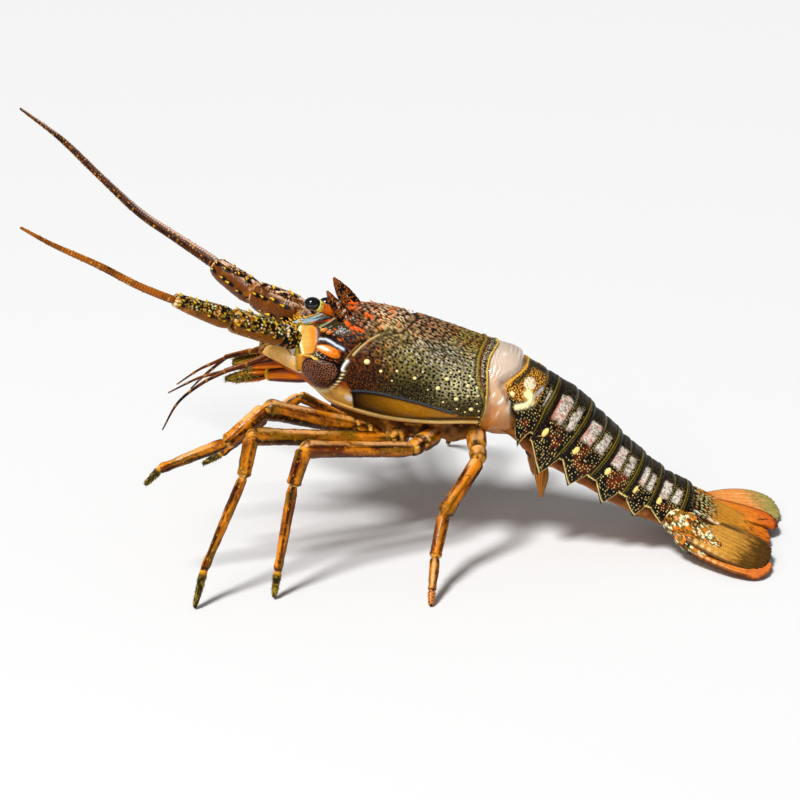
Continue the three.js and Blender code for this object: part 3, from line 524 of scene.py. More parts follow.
def trunkSkin(s, a):
    # colour, roughness and relief on the trunk: zones weighed by nearness give a light and a dark colour, and
    # scales, a net with pits, or dots choose between them
    side = np.abs(a)
    u, v = s, a * girth
    w = side * girth
    light, dark = np.zeros(s.shape + (3,)), np.zeros(s.shape + (3,))
    kinds = [np.zeros(s.shape) for _ in range(3)]
    weights = np.full(s.shape, 1e-9)
    wander = 0.3 * noise(u, v, 9, 3)
    for place, angle, lightTone, darkTone, kind in trunkZones.values():
        weight = bump((s - place) / zoneReach[0] + wander) * bump((side - angle) / zoneReach[1] + wander)
        light += weight[..., None] * paint(*lightTone)
        dark += weight[..., None] * paint(*darkTone)
        for k in range(3):
            kinds[k] += weight * kind[k]
        weights += weight
    light, dark = light / weights[..., None], dark / weights[..., None]
    scaleShare, netShare, dotShare = (k / np.maximum(sum(kinds), 1e-9) for k in kinds)

    # scales lean forwards: longer along a line that runs back and down
    p, q = 0.5 * (0.9 * u + 0.42 * w), np.sign(v) * (0.9 * w - 0.42 * u)
    near, _, own, back = cells(p, q, 1.6, 11)
    scaleMask = fall(near, 0.25, 0.5) * (0.3 + 0.7 * own)
    scaleRise = fall(near, 0, 0.7) * (0.8 - 0.7 * back)
    netNear, _, netOwn, _ = cells(u, v, 2.55, 23, 0.6)
    pit = fall(netNear, 0.27, 0.38)
    netMask = ramp(netNear, 0.3, 0.4) * (1 - ramp(netNear, 0.46, 0.62) * (0.35 + 0.4 * netOwn)) * (
        0.7 + 0.5 * noise(u, v, 1.3, 27, 2))
    dotNear, _, dotOwn, _ = cells(u, v, 1.35, 37)
    dotMask = fall(dotNear, 0.14, 0.4) * (0.3 + 0.7 * dotOwn)
    mask = scaleShare * scaleMask + netShare * netMask + dotShare * dotMask
    tint = dark * (1 - mask[..., None]) + light * mask[..., None]
    tint = mix(tint, (8, 6, 3), 0.9 * netShare * pit)
    relief = scaleShare * 0.62 * scaleRise + dotShare * 0.24 * dotMask + netShare * (0.3 * netMask - 0.42 * pit)
    # patches of rust and of olive, a few orange scales, pinkish white and pale grey painted highlights on some
    # scales, dark gaps between them as painted shade, and a whitish painted highlight on scales across the mid
    # flank
    tint = mix(tint, tint * np.array([1.25, 0.66, 0.4]), scaleShare * 0.7 * blotch(u, v, 7, 43, 0.05, 0.5))
    tint = mix(tint, (206, 100, 30), 0.8 * scaleShare * scaleMask * (own > 0.92) * ramp(-s, -30, 0))
    # painted highlight: pinkish white tips on a few scales, and pale grey tips on more, in patches
    tint = mix(tint, (240, 216, 206), 0.9 * scaleShare * fall(near, 0.08, 0.3) * (own > 0.3) * (own < 0.37))
    pale = (own > 0.45) * (own < 0.7) * blotch(u, v, 12, 47, -0.25, 0.35)
    tint = mix(tint, (222, 212, 196), scaleShare * fall(near, 0.1, 0.34) * pale * 0.85)
    # painted shade: dark gaps between the scales, in patches
    tint = mix(tint, (14, 8, 4), 0.8 * scaleShare * ramp(near, 0.46, 0.62) * blotch(u, v, 5, 49, -0.7, 0.1))
    # painted highlight: whitish tips on scales across the mid flank, where the light's highlight falls, also
    # raised a little
    gleam = bump((s - 22) / 20) * bump((side - 0.9) / 0.3) * (own > 0.35) * fall(near, 0.08, 0.3)
    tint = mix(tint, (214, 212, 206), 0.85 * gleam)
    relief = relief + 0.35 * gleam
    # pale strokes painted as highlights and dark slots painted as shade, longer along the same line, on the
    # upper side; the pale ones raised and the dark ones sunk a little
    strokeNear, _, strokeOwn, _ = cells(p * 0.5, q, 1, 97)
    stroke = fall(strokeNear, 0.16, 0.36) * bump((s - 20) / 26) * bump((side - 0.72) / 0.24)
    tint = mix(tint, (206, 200, 182), 0.9 * stroke * (strokeOwn > 0.6))
    tint = mix(tint, (12, 8, 4), 0.9 * stroke * (strokeOwn < 0.4))
    relief = relief + 0.3 * stroke * ((strokeOwn > 0.6) * 1 - (strokeOwn < 0.4))
    tint *= (1 + 0.25 * noise(u, v, 6, 41))[..., None]
    rough = 0.42 + 0.1 * noise(u, v, 3, 5) + 0.1 * (1 - mask)

    # groove round the neck, pale and greenish where it crosses the back
    groove = lineGap(u, w, neckGroove)
    palePlace = bump(np.hypot((u + 6) / 9, (w - 15) / 7)) + 0.6 * bump(groove / 2) * ramp(1 - side, 0, 0.4)
    paleTone = mix((120, 104, 50), (226, 206, 160), scaleMask ** 0.5)
    tint = mix(tint, paleTone, 0.6 * np.clip(palePlace, 0, 1))
    behind = lineGap(u - 2.4, w, neckGroove)
    tint = mix(tint, (44, 24, 10), 0.8 * bump(behind / 1.5) * ramp(1.1 - side, 0, 0.3))
    relief = relief * (1 - 0.5 * bump(groove / 2.5)) - 1.7 * bump(lineGap(u - 1.2, w, neckGroove) / 2.8)

    # grey, finely speckled brow beside the horns
    brow = inside(u, w, greyBrow)
    speckNear, _, speckOwn, _ = cells(u, v, 0.95, 93)
    frost = bump(np.hypot((u + 36.5) / 3.6, (w - 0.74 * girth) / 2.6))
    speckle = mix((62, 54, 26), (204, 202, 196),
                  fall(speckNear, 0.2, 0.5) * (speckOwn > 0.93 - 0.9 * frost))
    tint = mix(tint, speckle, 0.9 * brow)
    relief = relief * (1 - brow) + brow * 0.3 * fall(speckNear, 0.1, 0.5)

    # pale corner below the cheek, smooth panel, blue ridge, rim
    corner = inside(u, w, paleCorner)
    down = ramp(side, 1.74, 1.98)
    cornerTone = mix((150, 76, 22), (40, 20, 8), fall(dotNear, 0.16, 0.4) * (dotOwn > 0.5))
    cornerTone = mix(cornerTone, (224, 184, 104), down)
    cornerTone = cornerTone * (1 + 0.2 * noise(u, v, 2.2, 61) + 0.1 * noise(u, v * 3, 5, 63))[..., None]
    tint = mix(tint, cornerTone, 0.96 * corner)
    relief = relief * (1 - 0.85 * corner)
    spot = bump(np.hypot(u + 25, w - 2.02 * girth) / 1.9)
    tint = mix(tint, (252, 250, 244), np.clip(1.7 * spot, 0, 1))
    # plain brown strip between the panel's rear end and the rim
    strip = ramp(side, 2.06, 2.13) * ramp(s, 24, 34)
    tint = mix(tint, paint(146, 102, 34) * (1 + 0.2 * noise(u, v, 1.5, 75))[..., None], 0.85 * strip)
    relief = relief * (1 - strip)
    panel = inside(u, w, smoothPanel, 0.5)
    forward = ramp(s, -24, 14)
    panelTone = mix((92, 64, 8), (178, 128, 22), forward)
    panelTone = mix(panelTone, (44, 28, 6), 0.85 * fall(s, -23, -15))
    panelTone = mix(panelTone, (52, 34, 6), 0.8 * bump((w - 2.16 * girth) / 1.8) * (1 - 0.6 * forward))
    panelTone = panelTone * (1 + 0.2 * noise(u, v, 0.9, 71) + 0.15 * noise(u * 0.3, v, 2, 73))[..., None]
    tint = mix(tint, panelTone, panel)
    relief = relief * (1 - panel) + panel * (0.35 * np.sin(np.pi * ramp(side, 1.74, 2.25)) - 0.35)
    rough = rough * (1 - panel) + 0.36 * panel
    ridge = lineGap(u, w, blueRidge)
    tint = mix(tint, (16, 12, 6), 0.9 * bump(lineGap(u, w - 1, blueRidge) / 1.2))
    tint = mix(tint, (84, 98, 112), 0.95 * bump(ridge / 0.65))
    relief += 0.5 * bump(ridge / 0.8)
    front = bump((u + 22.8 - 0.5 * (side - 1.83) * 10) / 0.7) * ramp(side, 1.8, 1.86) * fall(side, 2.2, 2.26)
    tint = mix(tint, (24, 14, 4), 0.9 * front)
    rim = ramp(side, 2.225, 2.245) * ramp(s, -60, -44)
    stitch = bump((side - 2.195) * girth / 0.7) * ramp(s, -18, -10) * (0.5 + 0.5 * np.sin(u * 3.4))
    tint = mix(tint, (26, 18, 6), 0.9 * np.maximum(stitch, bump((side - 2.17) * girth / 0.8) * ramp(s, 18, 26)))
    rimTone = mix((232, 200, 132), (150, 92, 34), ramp(side, 2.29, 2.35))
    tint = mix(tint, rimTone * (1 + 0.1 * noise(u, v, 2, 83))[..., None], rim)
    relief = relief * (1 - rim) + rim * 0.8
    rough = rough * (1 - rim) + 0.34 * rim

    # band along the rear edge: fine speckles between an olive ridge and a yellow lip
    edgeAt = np.interp(side, *zip(*rearEdge))
    lineAt = np.interp(w, *reversed(list(zip(*bandLine))))
    band = ramp(s - lineAt, 0.4, 1.4)
    bandNear, _, bandOwn, _ = cells(u, v, 1.1, 91)
    speck = mix((34, 24, 10), (216, 204, 168),
                fall(bandNear, 0.2, 0.45) * ramp(bandOwn, 0.1, 0.5))
    tint = mix(tint, speck, band)
    relief = relief * (1 - band) + band * 0.25
    tint = mix(tint, (112, 54, 12), 0.9 * bump((s - lineAt - 1.7) / 0.7) * fall(side, 1.3, 1.5))
    tint = mix(tint, (20, 14, 6), 0.85 * bump((s - lineAt + 1.3) / 0.6))
    tint = mix(tint, (150, 128, 48), 0.95 * bump((s - lineAt) / 0.75))
    relief += 0.7 * bump((s - lineAt) / 1) - 0.5 * bump((s - lineAt - 1.7) / 0.7) * band
    lip = ramp(s - edgeAt, -0.8, -0.55)
    tint = mix(tint, (40, 28, 10), 0.6 * bump((s - edgeAt + 1.5) / 0.5))
    tint = mix(tint, mix((212, 176, 76), (232, 200, 132), ramp(side, 1.6, 1.9)), lip)
    relief = relief + 0.5 * lip

    for path, halfWidth, tone, strength, rise in trunkLines.values():
        line = bump(lineGap(u, w, onTrunk(path)) / halfWidth)
        if tone == trunkLines["edgeTeeth"][2]:
            line = line * np.where(w > 2.02 * girth, 1, 0.45 + 0.55 * np.sin(w * 2.8 + u))
        tint = mix(tint, tone, np.clip(strength * 1.15 * line, 0, 1))
        relief = relief * (1 - 0.6 * line) + rise * line
    return np.clip(tint, 0, 1), np.clip(rough, 0.15, 0.9), relief


def trunkShell(rows, cols, front, rear, skin):
    # the arch from its front to its rear edge, raised by the relief, turned in under the rim and closed
    a = np.linspace(-rimAngle, rimAngle, cols)[None]
    s = front + (np.interp(np.abs(a), *zip(*rear)) - front) * np.linspace(0, 1, rows)[:, None]
    a = np.broadcast_to(a, s.shape)
    base = trunkPoint(s, a)
    axis = bodyPoint(s, 0 * s, 0 * s)
    normals = outward(base, gridNormals(base), axis)
    tint, rough, relief = skin(s, a)
    points = base + normals * relief[..., None]
    # under the rim: in and up, then straight across
    tuck = np.array([(0.97, 0.9), (0.9, 2), (0.6, 2.6), (0, 2.6), (-0.6, 2.6), (-0.9, 2), (-0.97, 0.9)])
    rimWidth = np.abs(base[:, -1:, 1])
    rimS = s[:, -1:]
    rimHeight = smoothAt(trunkStations, rimS, 4)
    under = bodyPoint(rimS + 0 * tuck[:, 0], rimWidth * tuck[:, 0], rimHeight + tuck[:, 1])
    points = np.concatenate([points, under], 1)
    underTint = np.broadcast_to(paint(150, 104, 52), under.shape)
    tint = np.concatenate([tint, underTint], 1)
    rough = np.concatenate([rough, np.full(under.shape[:2], 0.5)], 1)
    return closedPart(points, tint, rough)


def trunkPlace(s, a, lift=0):
    # a point on the trunk and its outward direction, from small steps along and round it
    s, a = np.asarray(s, float), np.asarray(a, float)
    here = trunkPoint(s, a)
    along = trunkPoint(s + 0.4, a) - trunkPoint(s - 0.4, a)
    around = trunkPoint(s, a + 0.02) - trunkPoint(s, a - 0.02)
    normal = unit(np.cross(along, around))
    away = np.sum(normal * (here - bodyPoint(s, 0 * s, 0 * s)), -1, keepdims=True)
    normal = normal * np.where(away < 0, -1, 1)
    return here + normal * lift, normal


def mirrored(table, lift):
    # the places of a table on both sides of the trunk, the directions out of it, and the sizes
    rows = np.concatenate([np.array(table) * (1, side, 1) for side in bothSides])
    return *trunkPlace(rows[:, 0], rows[:, 1], lift), rows[:, 2]


bothSides = (-1, 1)
sideWords = (("left", -1), ("right", 1))
carapaceLook = {"rows": 232, "cols": 350, "front": -42}
carapaceParts = [trunkShell(*carapaceLook.values(), rearEdge, trunkSkin)]
spot, normal, size = mirrored(knobs, -0.1)
carapaceParts.append(domes(spot, normal, size * 0.85, (228, 212, 156), (60, 44, 20)))

# thorns that fan forwards over the front of the carapace: place, angle, length
thorns = [
    (-33, 0.16, 4.2), (-37, 0.47, 5), (-30.6, 0.64, 5.5), (-24.7, 0.72, 4.8), (-21.7, 0.38, 4),
    (-27, 0.12, 3), (-14, 0.3, 3), (-12, 0.6, 3.2), (-6, 0.16, 2.4), (-2, 0.42, 2.4), (-34, 0.95, 4.2),
    (-38.5, 0.72, 3.2), (9, 0.14, 2.4), (16, 0.12, 2.2), (24, 0.14, 2), (-18, 0.9, 2.6), (-10, 0.95, 2.2),
    (12, 0.42, 1.8), (22, 0.5, 1.6),
]
spot, normal, size = mirrored(thorns, -0.6)
carapaceParts.append(spikes(spot, normal * 0.75 + [-1, 0, 0.12], size, size * 0.26, (120, 52, 20),
                            (226, 120, 34), hook=0.2, tipAt=(0.1, 0.5)))
# small prickles between them
pick = np.random.default_rng(8)
prickleS, prickleA = pick.uniform(-38, 44, 210), pick.uniform(-0.95, 0.95, 210)
keep = pick.random(210) < np.clip(0.9 - (prickleS + 38) / 110, 0.25, 1)
spot, normal = trunkPlace(prickleS[keep], prickleA[keep], -0.2)
prickleTints = np.where(pick.random((keep.sum(), 1)) < 0.55, paint(206, 110, 40), paint(190, 176, 150))
carapaceParts.append(spikes(spot, normal * 0.8 + [-1, 0, 0.1], pick.uniform(0.9, 1.9, keep.sum()), 0.42,
                            (84, 44, 24), prickleTints, sides=6, rows=4, hook=0.15, tipAt=(0.1, 0.5)))


def hornPart(side):
    # a stout horn bent forwards: black with orange veins, and grey grains on its rear
    thin = 0.82 if side < 0 else 0.95
    grid = limbGrid([
        (-26, side * 12.5, 45.5, 6.6 * thin), (-28.6, side * 13, 51, 6.6 * thin),
        (-33.6, side * 14, 59, 5.4 * thin),
        (-38, side * 14.5, 65.5, 3.4 * thin), (-41.3, side * 14, 71.2, 0.6),
    ], 60, step=0.4, blunt=0.4)
    u, v = grid["along"], grid["fold"]
    near, second, own, _ = cells(u * 0.75, v, 2.1, 19)
    vein = fall(second - near, 0.03, 0.12) * (own > 0.2)
    fleck = fall(near, 0.14, 0.34) * (own > 0.55)
    tint = mix((16, 11, 8), (214, 122, 30), vein)
    behind = ramp(grid["out"][..., 0], 0, 0.5)
    tint = mix(tint, mix((214, 150, 50), (206, 202, 190), behind), fleck * (0.4 + 0.6 * behind))
    tint = mix(tint, (196, 116, 34), 0.6 * ramp(-grid["out"][..., 0], 0.85, 0.98))
    tint = mix(tint, (150, 84, 24), 0.7 * ramp(grid["share"], 0.8, 0.95))
    return closedPart(limbPoints(grid, 0.3 * vein + 0.3 * fleck - 0.1), tint, 0.4)


carapaceParts += [hornPart(side) for side in bothSides]
makePiece("carapaceShell", carapaceParts, shellFinish, ["carapace"])
print("carapace done")


# ---- head ----

headPatches = {
    "yellowPlate": ([(-62, 0.27), (-53.5, 0.38), (-50.5, 0.62), (-49, 0.95), (-49.5, 1.3), (-55.5, 1.42),
                     (-59, 1.05), (-61.5, 0.65)], (206, 166, 84), 0.9),
    "tanPlate": ([(-81, 1.9), (-79, 1.3), (-77, 1.2), (-66.4, 1.18), (-60.5, 1.55), (-57, 1.95), (-58, 2.1),
                  (-69, 2.04), (-80, 2)], (228, 180, 104), 0.9),
    "paleSkin": ([(-68.4, 0.72), (-63.6, 0.66), (-61.9, 1), (-60.6, 1.2), (-61.6, 1.5), (-66.6, 1.19)],
                 (226, 206, 190), 0.3),
}
# painted lines of the head: path, half width, colour, strength, rise
headLines = {
    "plateCream": ([(-61.4, 0.32), (-60.6, 0.7), (-57.4, 1.15), (-55.6, 1.38)], 1, (244, 226, 180), 0.9, 0.1),
    "plateWarm": ([(-53.6, 0.5), (-51.6, 0.75), (-50.6, 1), (-50.8, 1.25)], 2.2, (216, 128, 30), 0.75, 0.1),
    "plateTop": ([(-62, 0.24), (-57, 0.29), (-53, 0.34)], 0.8, (150, 62, 12), 0.9, -0.3),
    "greenStrip": ([(-63, 0.56), (-61.4, 0.9), (-59.6, 1.25), (-58, 1.6), (-57.2, 1.95)], 1.5,
                   (150, 128, 34), 0.95, 0.3),
    "stripDark": ([(-62.4, 0.52), (-60.9, 0.85), (-59, 1.2), (-57.6, 1.5)], 0.4, (56, 40, 10), 0.9, -0.4),
    "stripGold": ([(-57.2, 1.45), (-56.6, 1.7), (-56.2, 1.95)], 1.4, (206, 140, 34), 0.9, 0.3),
    "jawWhite": ([(-81, 1.93), (-69, 2.06), (-58, 2.13), (-55.5, 2.05)], 0.6, (244, 228, 204), 0.95, 0.2),
    "topBlue": ([(-66, 0.02), (-60, 0.1), (-54, 0.12), (-49, 0.18)], 0.9, (170, 196, 206), 0.95, 0.4),
    "topOlive": ([(-67, 0.2), (-61, 0.2), (-55, 0.22)], 0.8, (160, 150, 60), 0.9, 0.3),
    "yellowFoot": ([(-56.5, 1.44), (-53, 1.4), (-49.6, 1.42)], 0.9, (236, 190, 70), 0.9, 0.3),
}


def headSkin(s, a):
    # the trunk's own patterns, with the head's plates and lines painted over them
    tint, rough, relief = trunkSkin(s, a)
    side = np.abs(a)
    u, v, w = s, a * girth, side * girth
    # tangle of dark, yellow, orange and white grains in front of the plates
    near, _, own, _ = cells(u, v, 1.7, 53)
    core = fall(near, 0.2, 0.5)
    tangle = mix((20, 14, 8), (214, 174, 44), core * (own > 0.35))
    tangle = mix(tangle, (206, 98, 30), core * (own > 0.66))
    tangle = mix(tangle, (226, 216, 196), core * (own > 0.84))
    snout = ramp(-s, 59, 64) * fall(side, 1.12, 1.3)
    tint = mix(tint, tangle, snout)
    relief = relief * (1 - snout) + snout * 0.7 * fall(near, 0.1, 0.6)
    belly = ramp(side, 2.02, 2.12) * ramp(-s, 44, 50)
    tint = mix(tint, paint(176, 92, 22) * (1 + 0.3 * noise(u, v, 3, 57))[..., None], belly)
    # white and black grains between the swelling and the cheek
    near, _, own, _ = cells(u, v, 1.3, 59)
    grains = mix((30, 24, 12), (214, 206, 186), fall(near, 0.2, 0.5) * (own > 0.35))
    cheekTop = [(-51, 1.22), (-47, 1.12), (-41, 1.25), (-36, 1.38), (-33, 1.55), (-50, 1.6)]
    place = inside(u, w, onTrunk(cheekTop), 0.8)
    tint = mix(tint, grains, 0.9 * place)
    for outline, tone, rise in headPatches.values():
        patch = inside(u, w, onTrunk(outline), 0.5)
        grain = (1 + 0.14 * noise(u, v, 1.6, 29) + 0.1 * noise(u, v, 6, 31))[..., None]
        rimLine = lineGap(u, w, onTrunk(outline + outline[:1]))
        tint = mix(tint, (46, 28, 10), 0.8 * bump((rimLine - 0.9) / 0.6) * (1 - patch))
        tint = mix(tint, paint(*tone) * grain, patch)
        relief = relief * (1 - patch) + patch * rise
        rough = rough * (1 - patch) + 0.36 * patch
    dust = bump(np.hypot(u + 61.5, w - 1.62 * girth) / 5) * fall(cells(u, v, 1.1, 61)[0], 0.2, 0.5)
    tint = mix(tint, (248, 236, 220), 0.8 * dust * ramp(side, 1.2, 1.35))
    for path, halfWidth, tone, strength, rise in headLines.values():
        line = bump(lineGap(u, w, onTrunk(path)) / halfWidth)
        tint = mix(tint, tone, np.clip(strength * 1.1 * line, 0, 1))
        relief = relief * (1 - 0.5 * line) + rise * line
    return np.clip(tint, 0, 1), rough, relief


headLook = {"rows": 116, "cols": 320, "front": -84, "rear": [(0, -41.9)]}


def lobePart(side, look):
    # a swollen lobe on the trunk: an oval of places round its centre, raised like a flattened dome
    sides, rows = look["sides"], look["sides"] // 3
    turn = turns(sides)
    angle = turn[None]
    r = np.concatenate([np.linspace(0.02, 1, rows), [1.03, 1]])[:, None]
    dome = np.sqrt(np.maximum(1 - np.linspace(0.02, 1, rows) ** 2.6, 0)) * look["height"]
    rise = np.concatenate([dome, [-0.8, -1.8]])[:, None]
    x = look["reach"][0] * r * signed(np.cos(angle), look["full"])
    y = look["reach"][1] * r * signed(np.sin(angle), look["full"])
    if "outline" in look:
        # the oval is replaced by a smooth closed line through the places of the outline
        corners = look["outline"]
        order = np.arange(-2, len(corners) + 3)
        wrapped = np.column_stack([order, np.take(corners, order, 0, mode="wrap")])
        loop = [smoothAt(wrapped, turn / math.tau * len(corners), k)[None] for k in (1, 2)]
        x, y = r * (loop[0] - look["centre"][0]), r * (loop[1] - look["centre"][1]) * girth
    s = look["centre"][0] + x * math.cos(look["tilt"]) - y * math.sin(look["tilt"])
    a = look["centre"][1] + (x * math.sin(look["tilt"]) + y * math.cos(look["tilt"])) / girth
    spot, normal = trunkPlace(s, side * a)
    near, second, _, _ = cells(x, y, look["cell"], look["seed"])
    vein = fall(second - near, 0.08, 0.32)
    rim = ramp(np.broadcast_to(r, x.shape), 0.84, 0.95)
    tint = mix(look["field"], look["mesh"], vein * 0.9)
    shine = bump(np.hypot((x / look["reach"][0] + 0.35) / 0.4, (y / look["reach"][1] + 0.1) / 0.3))
    tint = mix(tint, (250, 232, 206), np.clip(look["shine"] * 1.5 * shine, 0, 1))
    tint = mix(tint, look["edge"], rim) * (1 + 0.22 * noise(x, y, 5, look["seed"] + 1))[..., None]
    return closedPart(spot + normal * (rise + 0.25 * vein * (1 - rim))[..., None], tint, 0.34)


# lobes of the cheek: centre along and round, half axes, height, tilt, fullness, cell size and colours
lobes = [
    {"centre": (-43, 1.73), "reach": (12, 10), "height": 3.4, "tilt": 0, "full": 1, "cell": 1.45, "seed": 101,
     "outline": [(-55, 1.84), (-54.6, 1.61), (-51.4, 1.47), (-45.5, 1.4), (-39.1, 1.38), (-34.9, 1.39),
                 (-32.3, 1.48), (-32.9, 1.63), (-36, 1.83), (-40, 2.02), (-44.3, 2.15), (-49.6, 2.11),
                 (-53.8, 1.98)],
     "sides": 110, "shine": 0, "field": (16, 6, 3), "mesh": (158, 104, 76), "edge": (7, 5, 4)},
    {"centre": (-40.8, 1.19), "reach": (8.4, 3.9), "height": 2.2, "tilt": 0.3, "full": 0.9,
     "cell": 2.4, "seed": 131, "sides": 54, "shine": 0.9,
     "field": (214, 112, 16), "mesh": (232, 150, 40), "edge": (130, 60, 12)},
    {"centre": (-45.6, 0.68), "reach": (2.3, 1.8), "height": 1.9, "tilt": 0, "full": 1, "cell": 2, "seed": 141,
     "sides": 24, "shine": 0.5, "field": (214, 118, 26), "mesh": (236, 160, 70), "edge": (70, 30, 10)},
    {"centre": (-42.2, 0.77), "reach": (2.1, 1.7), "height": 1.7, "tilt": 0, "full": 1, "cell": 2, "seed": 151,
     "sides": 24, "shine": 0.3, "field": (190, 92, 20), "mesh": (222, 140, 60), "edge": (70, 30, 10)},
    {"centre": (-47, 1.44), "reach": (2.2, 1.4), "height": 3, "tilt": 0.3, "full": 1, "cell": 2, "seed": 161,
     "sides": 24, "shine": 0.4, "field": (216, 176, 40), "mesh": (230, 200, 96), "edge": (60, 44, 14)},
]
headSpikes = [
    (-47.5, 0.6, 3), (-52, 0.5, 2), (-66, 0.2, 3.4), (-69, 0.45, 3.4), (-72, 0.2, 3.4), (-71, 0.7, 3),
    (-75, 0.5, 3.2), (-76, 0.9, 3), (-68, 0.95, 2.6), (-79, 0.3, 3), (-64, 0.6, 2.4), (-62, 0.12, 3.4),
    (-63.5, 0.3, 3), (-65.5, 0.5, 3.2), (-64.6, 0.85, 2.2), (-66.8, 0.7, 2.8), (-60, 0.16, 2.2),
    (-68.4, 0.28, 3),
]
spot, normal, size = mirrored(headSpikes, -0.3)
headParts = [trunkShell(*headLook.values(), headSkin)]
headParts += [lobePart(side, look) for side in bothSides for look in lobes]
headParts.append(spikes(spot, normal + [-0.9, 0, 0.1], size, size * 0.28, (60, 36, 10), (240, 184, 50),
                        hook=0.15, tipAt=(0.15, 0.4)))
makePiece("headShell", headParts, headFinish, ["head"], 1.14)
print("head done")


# ---- thorax, neck skin, abdomen ----

thoraxLook = {"front": -36, "rear": 51, "frontKeel": -31, "keel": -43, "halfWidth": 20}


def thoraxSkin():
    # a box with round edges between the shell's rims and the keel, ribbed where the legs are set
    s = np.linspace(thoraxLook["front"], thoraxLook["rear"], 150)[:, None]
    angle = turns(160)[None]
    t = (s - thoraxLook["front"]) / (thoraxLook["rear"] - thoraxLook["front"])
    top = smoothAt(trunkStations, s, 4) + 1
    deepening = (thoraxLook["keel"] - thoraxLook["frontKeel"]) * np.minimum(1, t * 2.5)
    bottom = thoraxLook["frontKeel"] + deepening + 6 * t**3
    wide = thoraxLook["halfWidth"] * (0.72 + 0.28 * np.sin(math.pi * np.minimum(1, 0.25 + t)))
    across, upright = np.sin(angle), np.cos(angle)
    rib = 0.8 * np.sin((s - 2) / 16.5 * math.tau) * ramp(-upright, -0.4, 0.3)
    narrow = 1 - 0.25 * ramp(-upright, 0.5, 1)
    y = (wide + rib) * narrow * signed(across, 0.6)
    h = (top + bottom) / 2 + ((top - bottom) / 2 + rib) * signed(upright, 0.6)
    points = bodyPoint(s, y, h)
    u, v = np.broadcast_to(s, y.shape), np.abs(angle - math.pi) * 20 + 0 * s
    lumps = noise(u, v, 7, 201)
    points = points + outward(points, gridNormals(points, True), bodyPoint(s, 0 * s, (top + bottom) / 2)) * (
        0.5 * noise(u, v, 3, 205))[..., None]
    tint = mix((150, 98, 26), (70, 36, 10), ramp(lumps, -0.3, 0.5))
    tint = mix(tint, (214, 152, 60), blotch(u, v, 5, 209, 0.15, 0.5))
    return closedPart(points, tint, 0.45)


makePiece("thoraxFlesh", [thoraxSkin()], fleshFinish, ["thorax"], 1.12)

# height and place along the axis of the first ring's front edge
firstEdge = [(-20, 85.5), (-10.3, 79.2), (-0.8, 73.1), (7.3, 61.8), (11, 60.6), (14.9, 62.6), (21, 66.5)]

neckLook = {"start": 51, "end": 68.5, "lowEnd": 84, "crest": 23.8, "halfWidth": 27.8, "bottom": 27.6}


def neckSkin():
    # an oval tube of thin skin, longer below, with faint wrinkles over the back and folds at the sides
    angle = turns(280)[None]
    across, upright = np.sin(angle), np.cos(angle)
    end = neckLook["end"] + (neckLook["lowEnd"] - neckLook["end"]) * ramp(-upright, -0.1, 0.75)
    t = np.linspace(0, 1, 130)[:, None]
    s = neckLook["start"] + (end - neckLook["start"]) * t
    fold = np.abs(angle - math.pi)
    u, v = s + 0 * angle, fold * 27 + 0 * s
    top, low = ramp(upright, 0.1, 0.7) + 0 * s, ramp(-upright, -0.15, 0.55) + 0 * s
    bend = 3 * noise(u * 0.6, v, 9, 221)
    wrinkles = np.sin((u + bend) / 1.6 * math.tau) * blotch(u, v * 0.5, 6, 225, -0.35, 0.25)
    folds = 0.8 * noise(u * 1.4, v * 0.6, 5.5, 223, 2) * (1 - 0.6 * top)
    wave = 0.09 * wrinkles * (0.3 + 0.7 * top) + folds + 0.6 * np.sin(math.pi * t)
    rise = np.where(upright > 0, neckLook["crest"], neckLook["bottom"] - 6.5 * ramp(s, 62, 84))
    # tucked in under the front edge of the first ring
    ringAt = np.interp(rise * upright, *zip(*firstEdge))
    wave = wave - 3.8 * ramp(s - ringAt, -5, 0.5)
    y = (neckLook["halfWidth"] - 4 * ramp(s, 64, 84) + wave) * signed(across, 0.8)
    points = bodyPoint(s, y, (rise + wave) * upright)
    tint = mix((216, 174, 132), (214, 192, 172), top)
    tint = mix(tint, (190, 120, 48), low)
    # painted light and shade on the wrinkles over the back: lighter on their crests, darker in their troughs
    tint = mix(tint, (238, 228, 216), 0.35 * ramp(wrinkles, 0.2, 0.8) * top)
    tint = mix(tint, (176, 140, 116), 0.25 * ramp(-wrinkles, 0.2, 0.8) * top)
    shine = blotch(u * 1.6, v * 0.5, 4.5, 229, 0.22, 0.42) * (1 - low)
    tint = mix(tint, (252, 248, 242), 0.8 * shine * (1 - 0.5 * top))
    # painted shade: darker orange in the troughs of the folds
    tint = mix(tint, (196, 120, 56), 0.6 * ramp(-folds, 0.15, 0.5))
    return closedPart(points, tint, 0.22)


makePiece("neckSkin", [neckSkin()], skinFinish, ["membrane"], 1.02)

# start and end along the axis, crest, half width, belly, tip of the side plate and its share along the ring
tailRings = [
    (67, 91, 22.5, 28, -9, -20, 0.12), (91, 112, 22.3, 29, -12, -27, 0.82),
    (112, 135.5, 20, 27.5, -9, -20.5, 0.66), (135.5, 156.7, 18, 25.5, -6, -17, 0.64),
    (156.7, 172.6, 16, 23, -5, -13.5, 0.7), (172.6, 192.5, 13.7, 20.5, -4, -10.5, 0.55),
]
tailRingLook = {
    "overlap": 1.5, "plateThickness": 3.5, "step": 1.1, "plateRise": 0.15, "firstRise": 0.6,
    "black": (18, 14, 5),
    # the two pale greys of the painted highlight patches on the rings' sides
    "dot": (196, 172, 104), "crest": (88, 78, 56), "paintedSheen": (212, 204, 194), "paintedSheenDark": (146, 134, 122),
    "pink": (190, 104, 84), "rust": (112, 48, 8), "cream": (230, 206, 136), "line": (146, 128, 44),
}


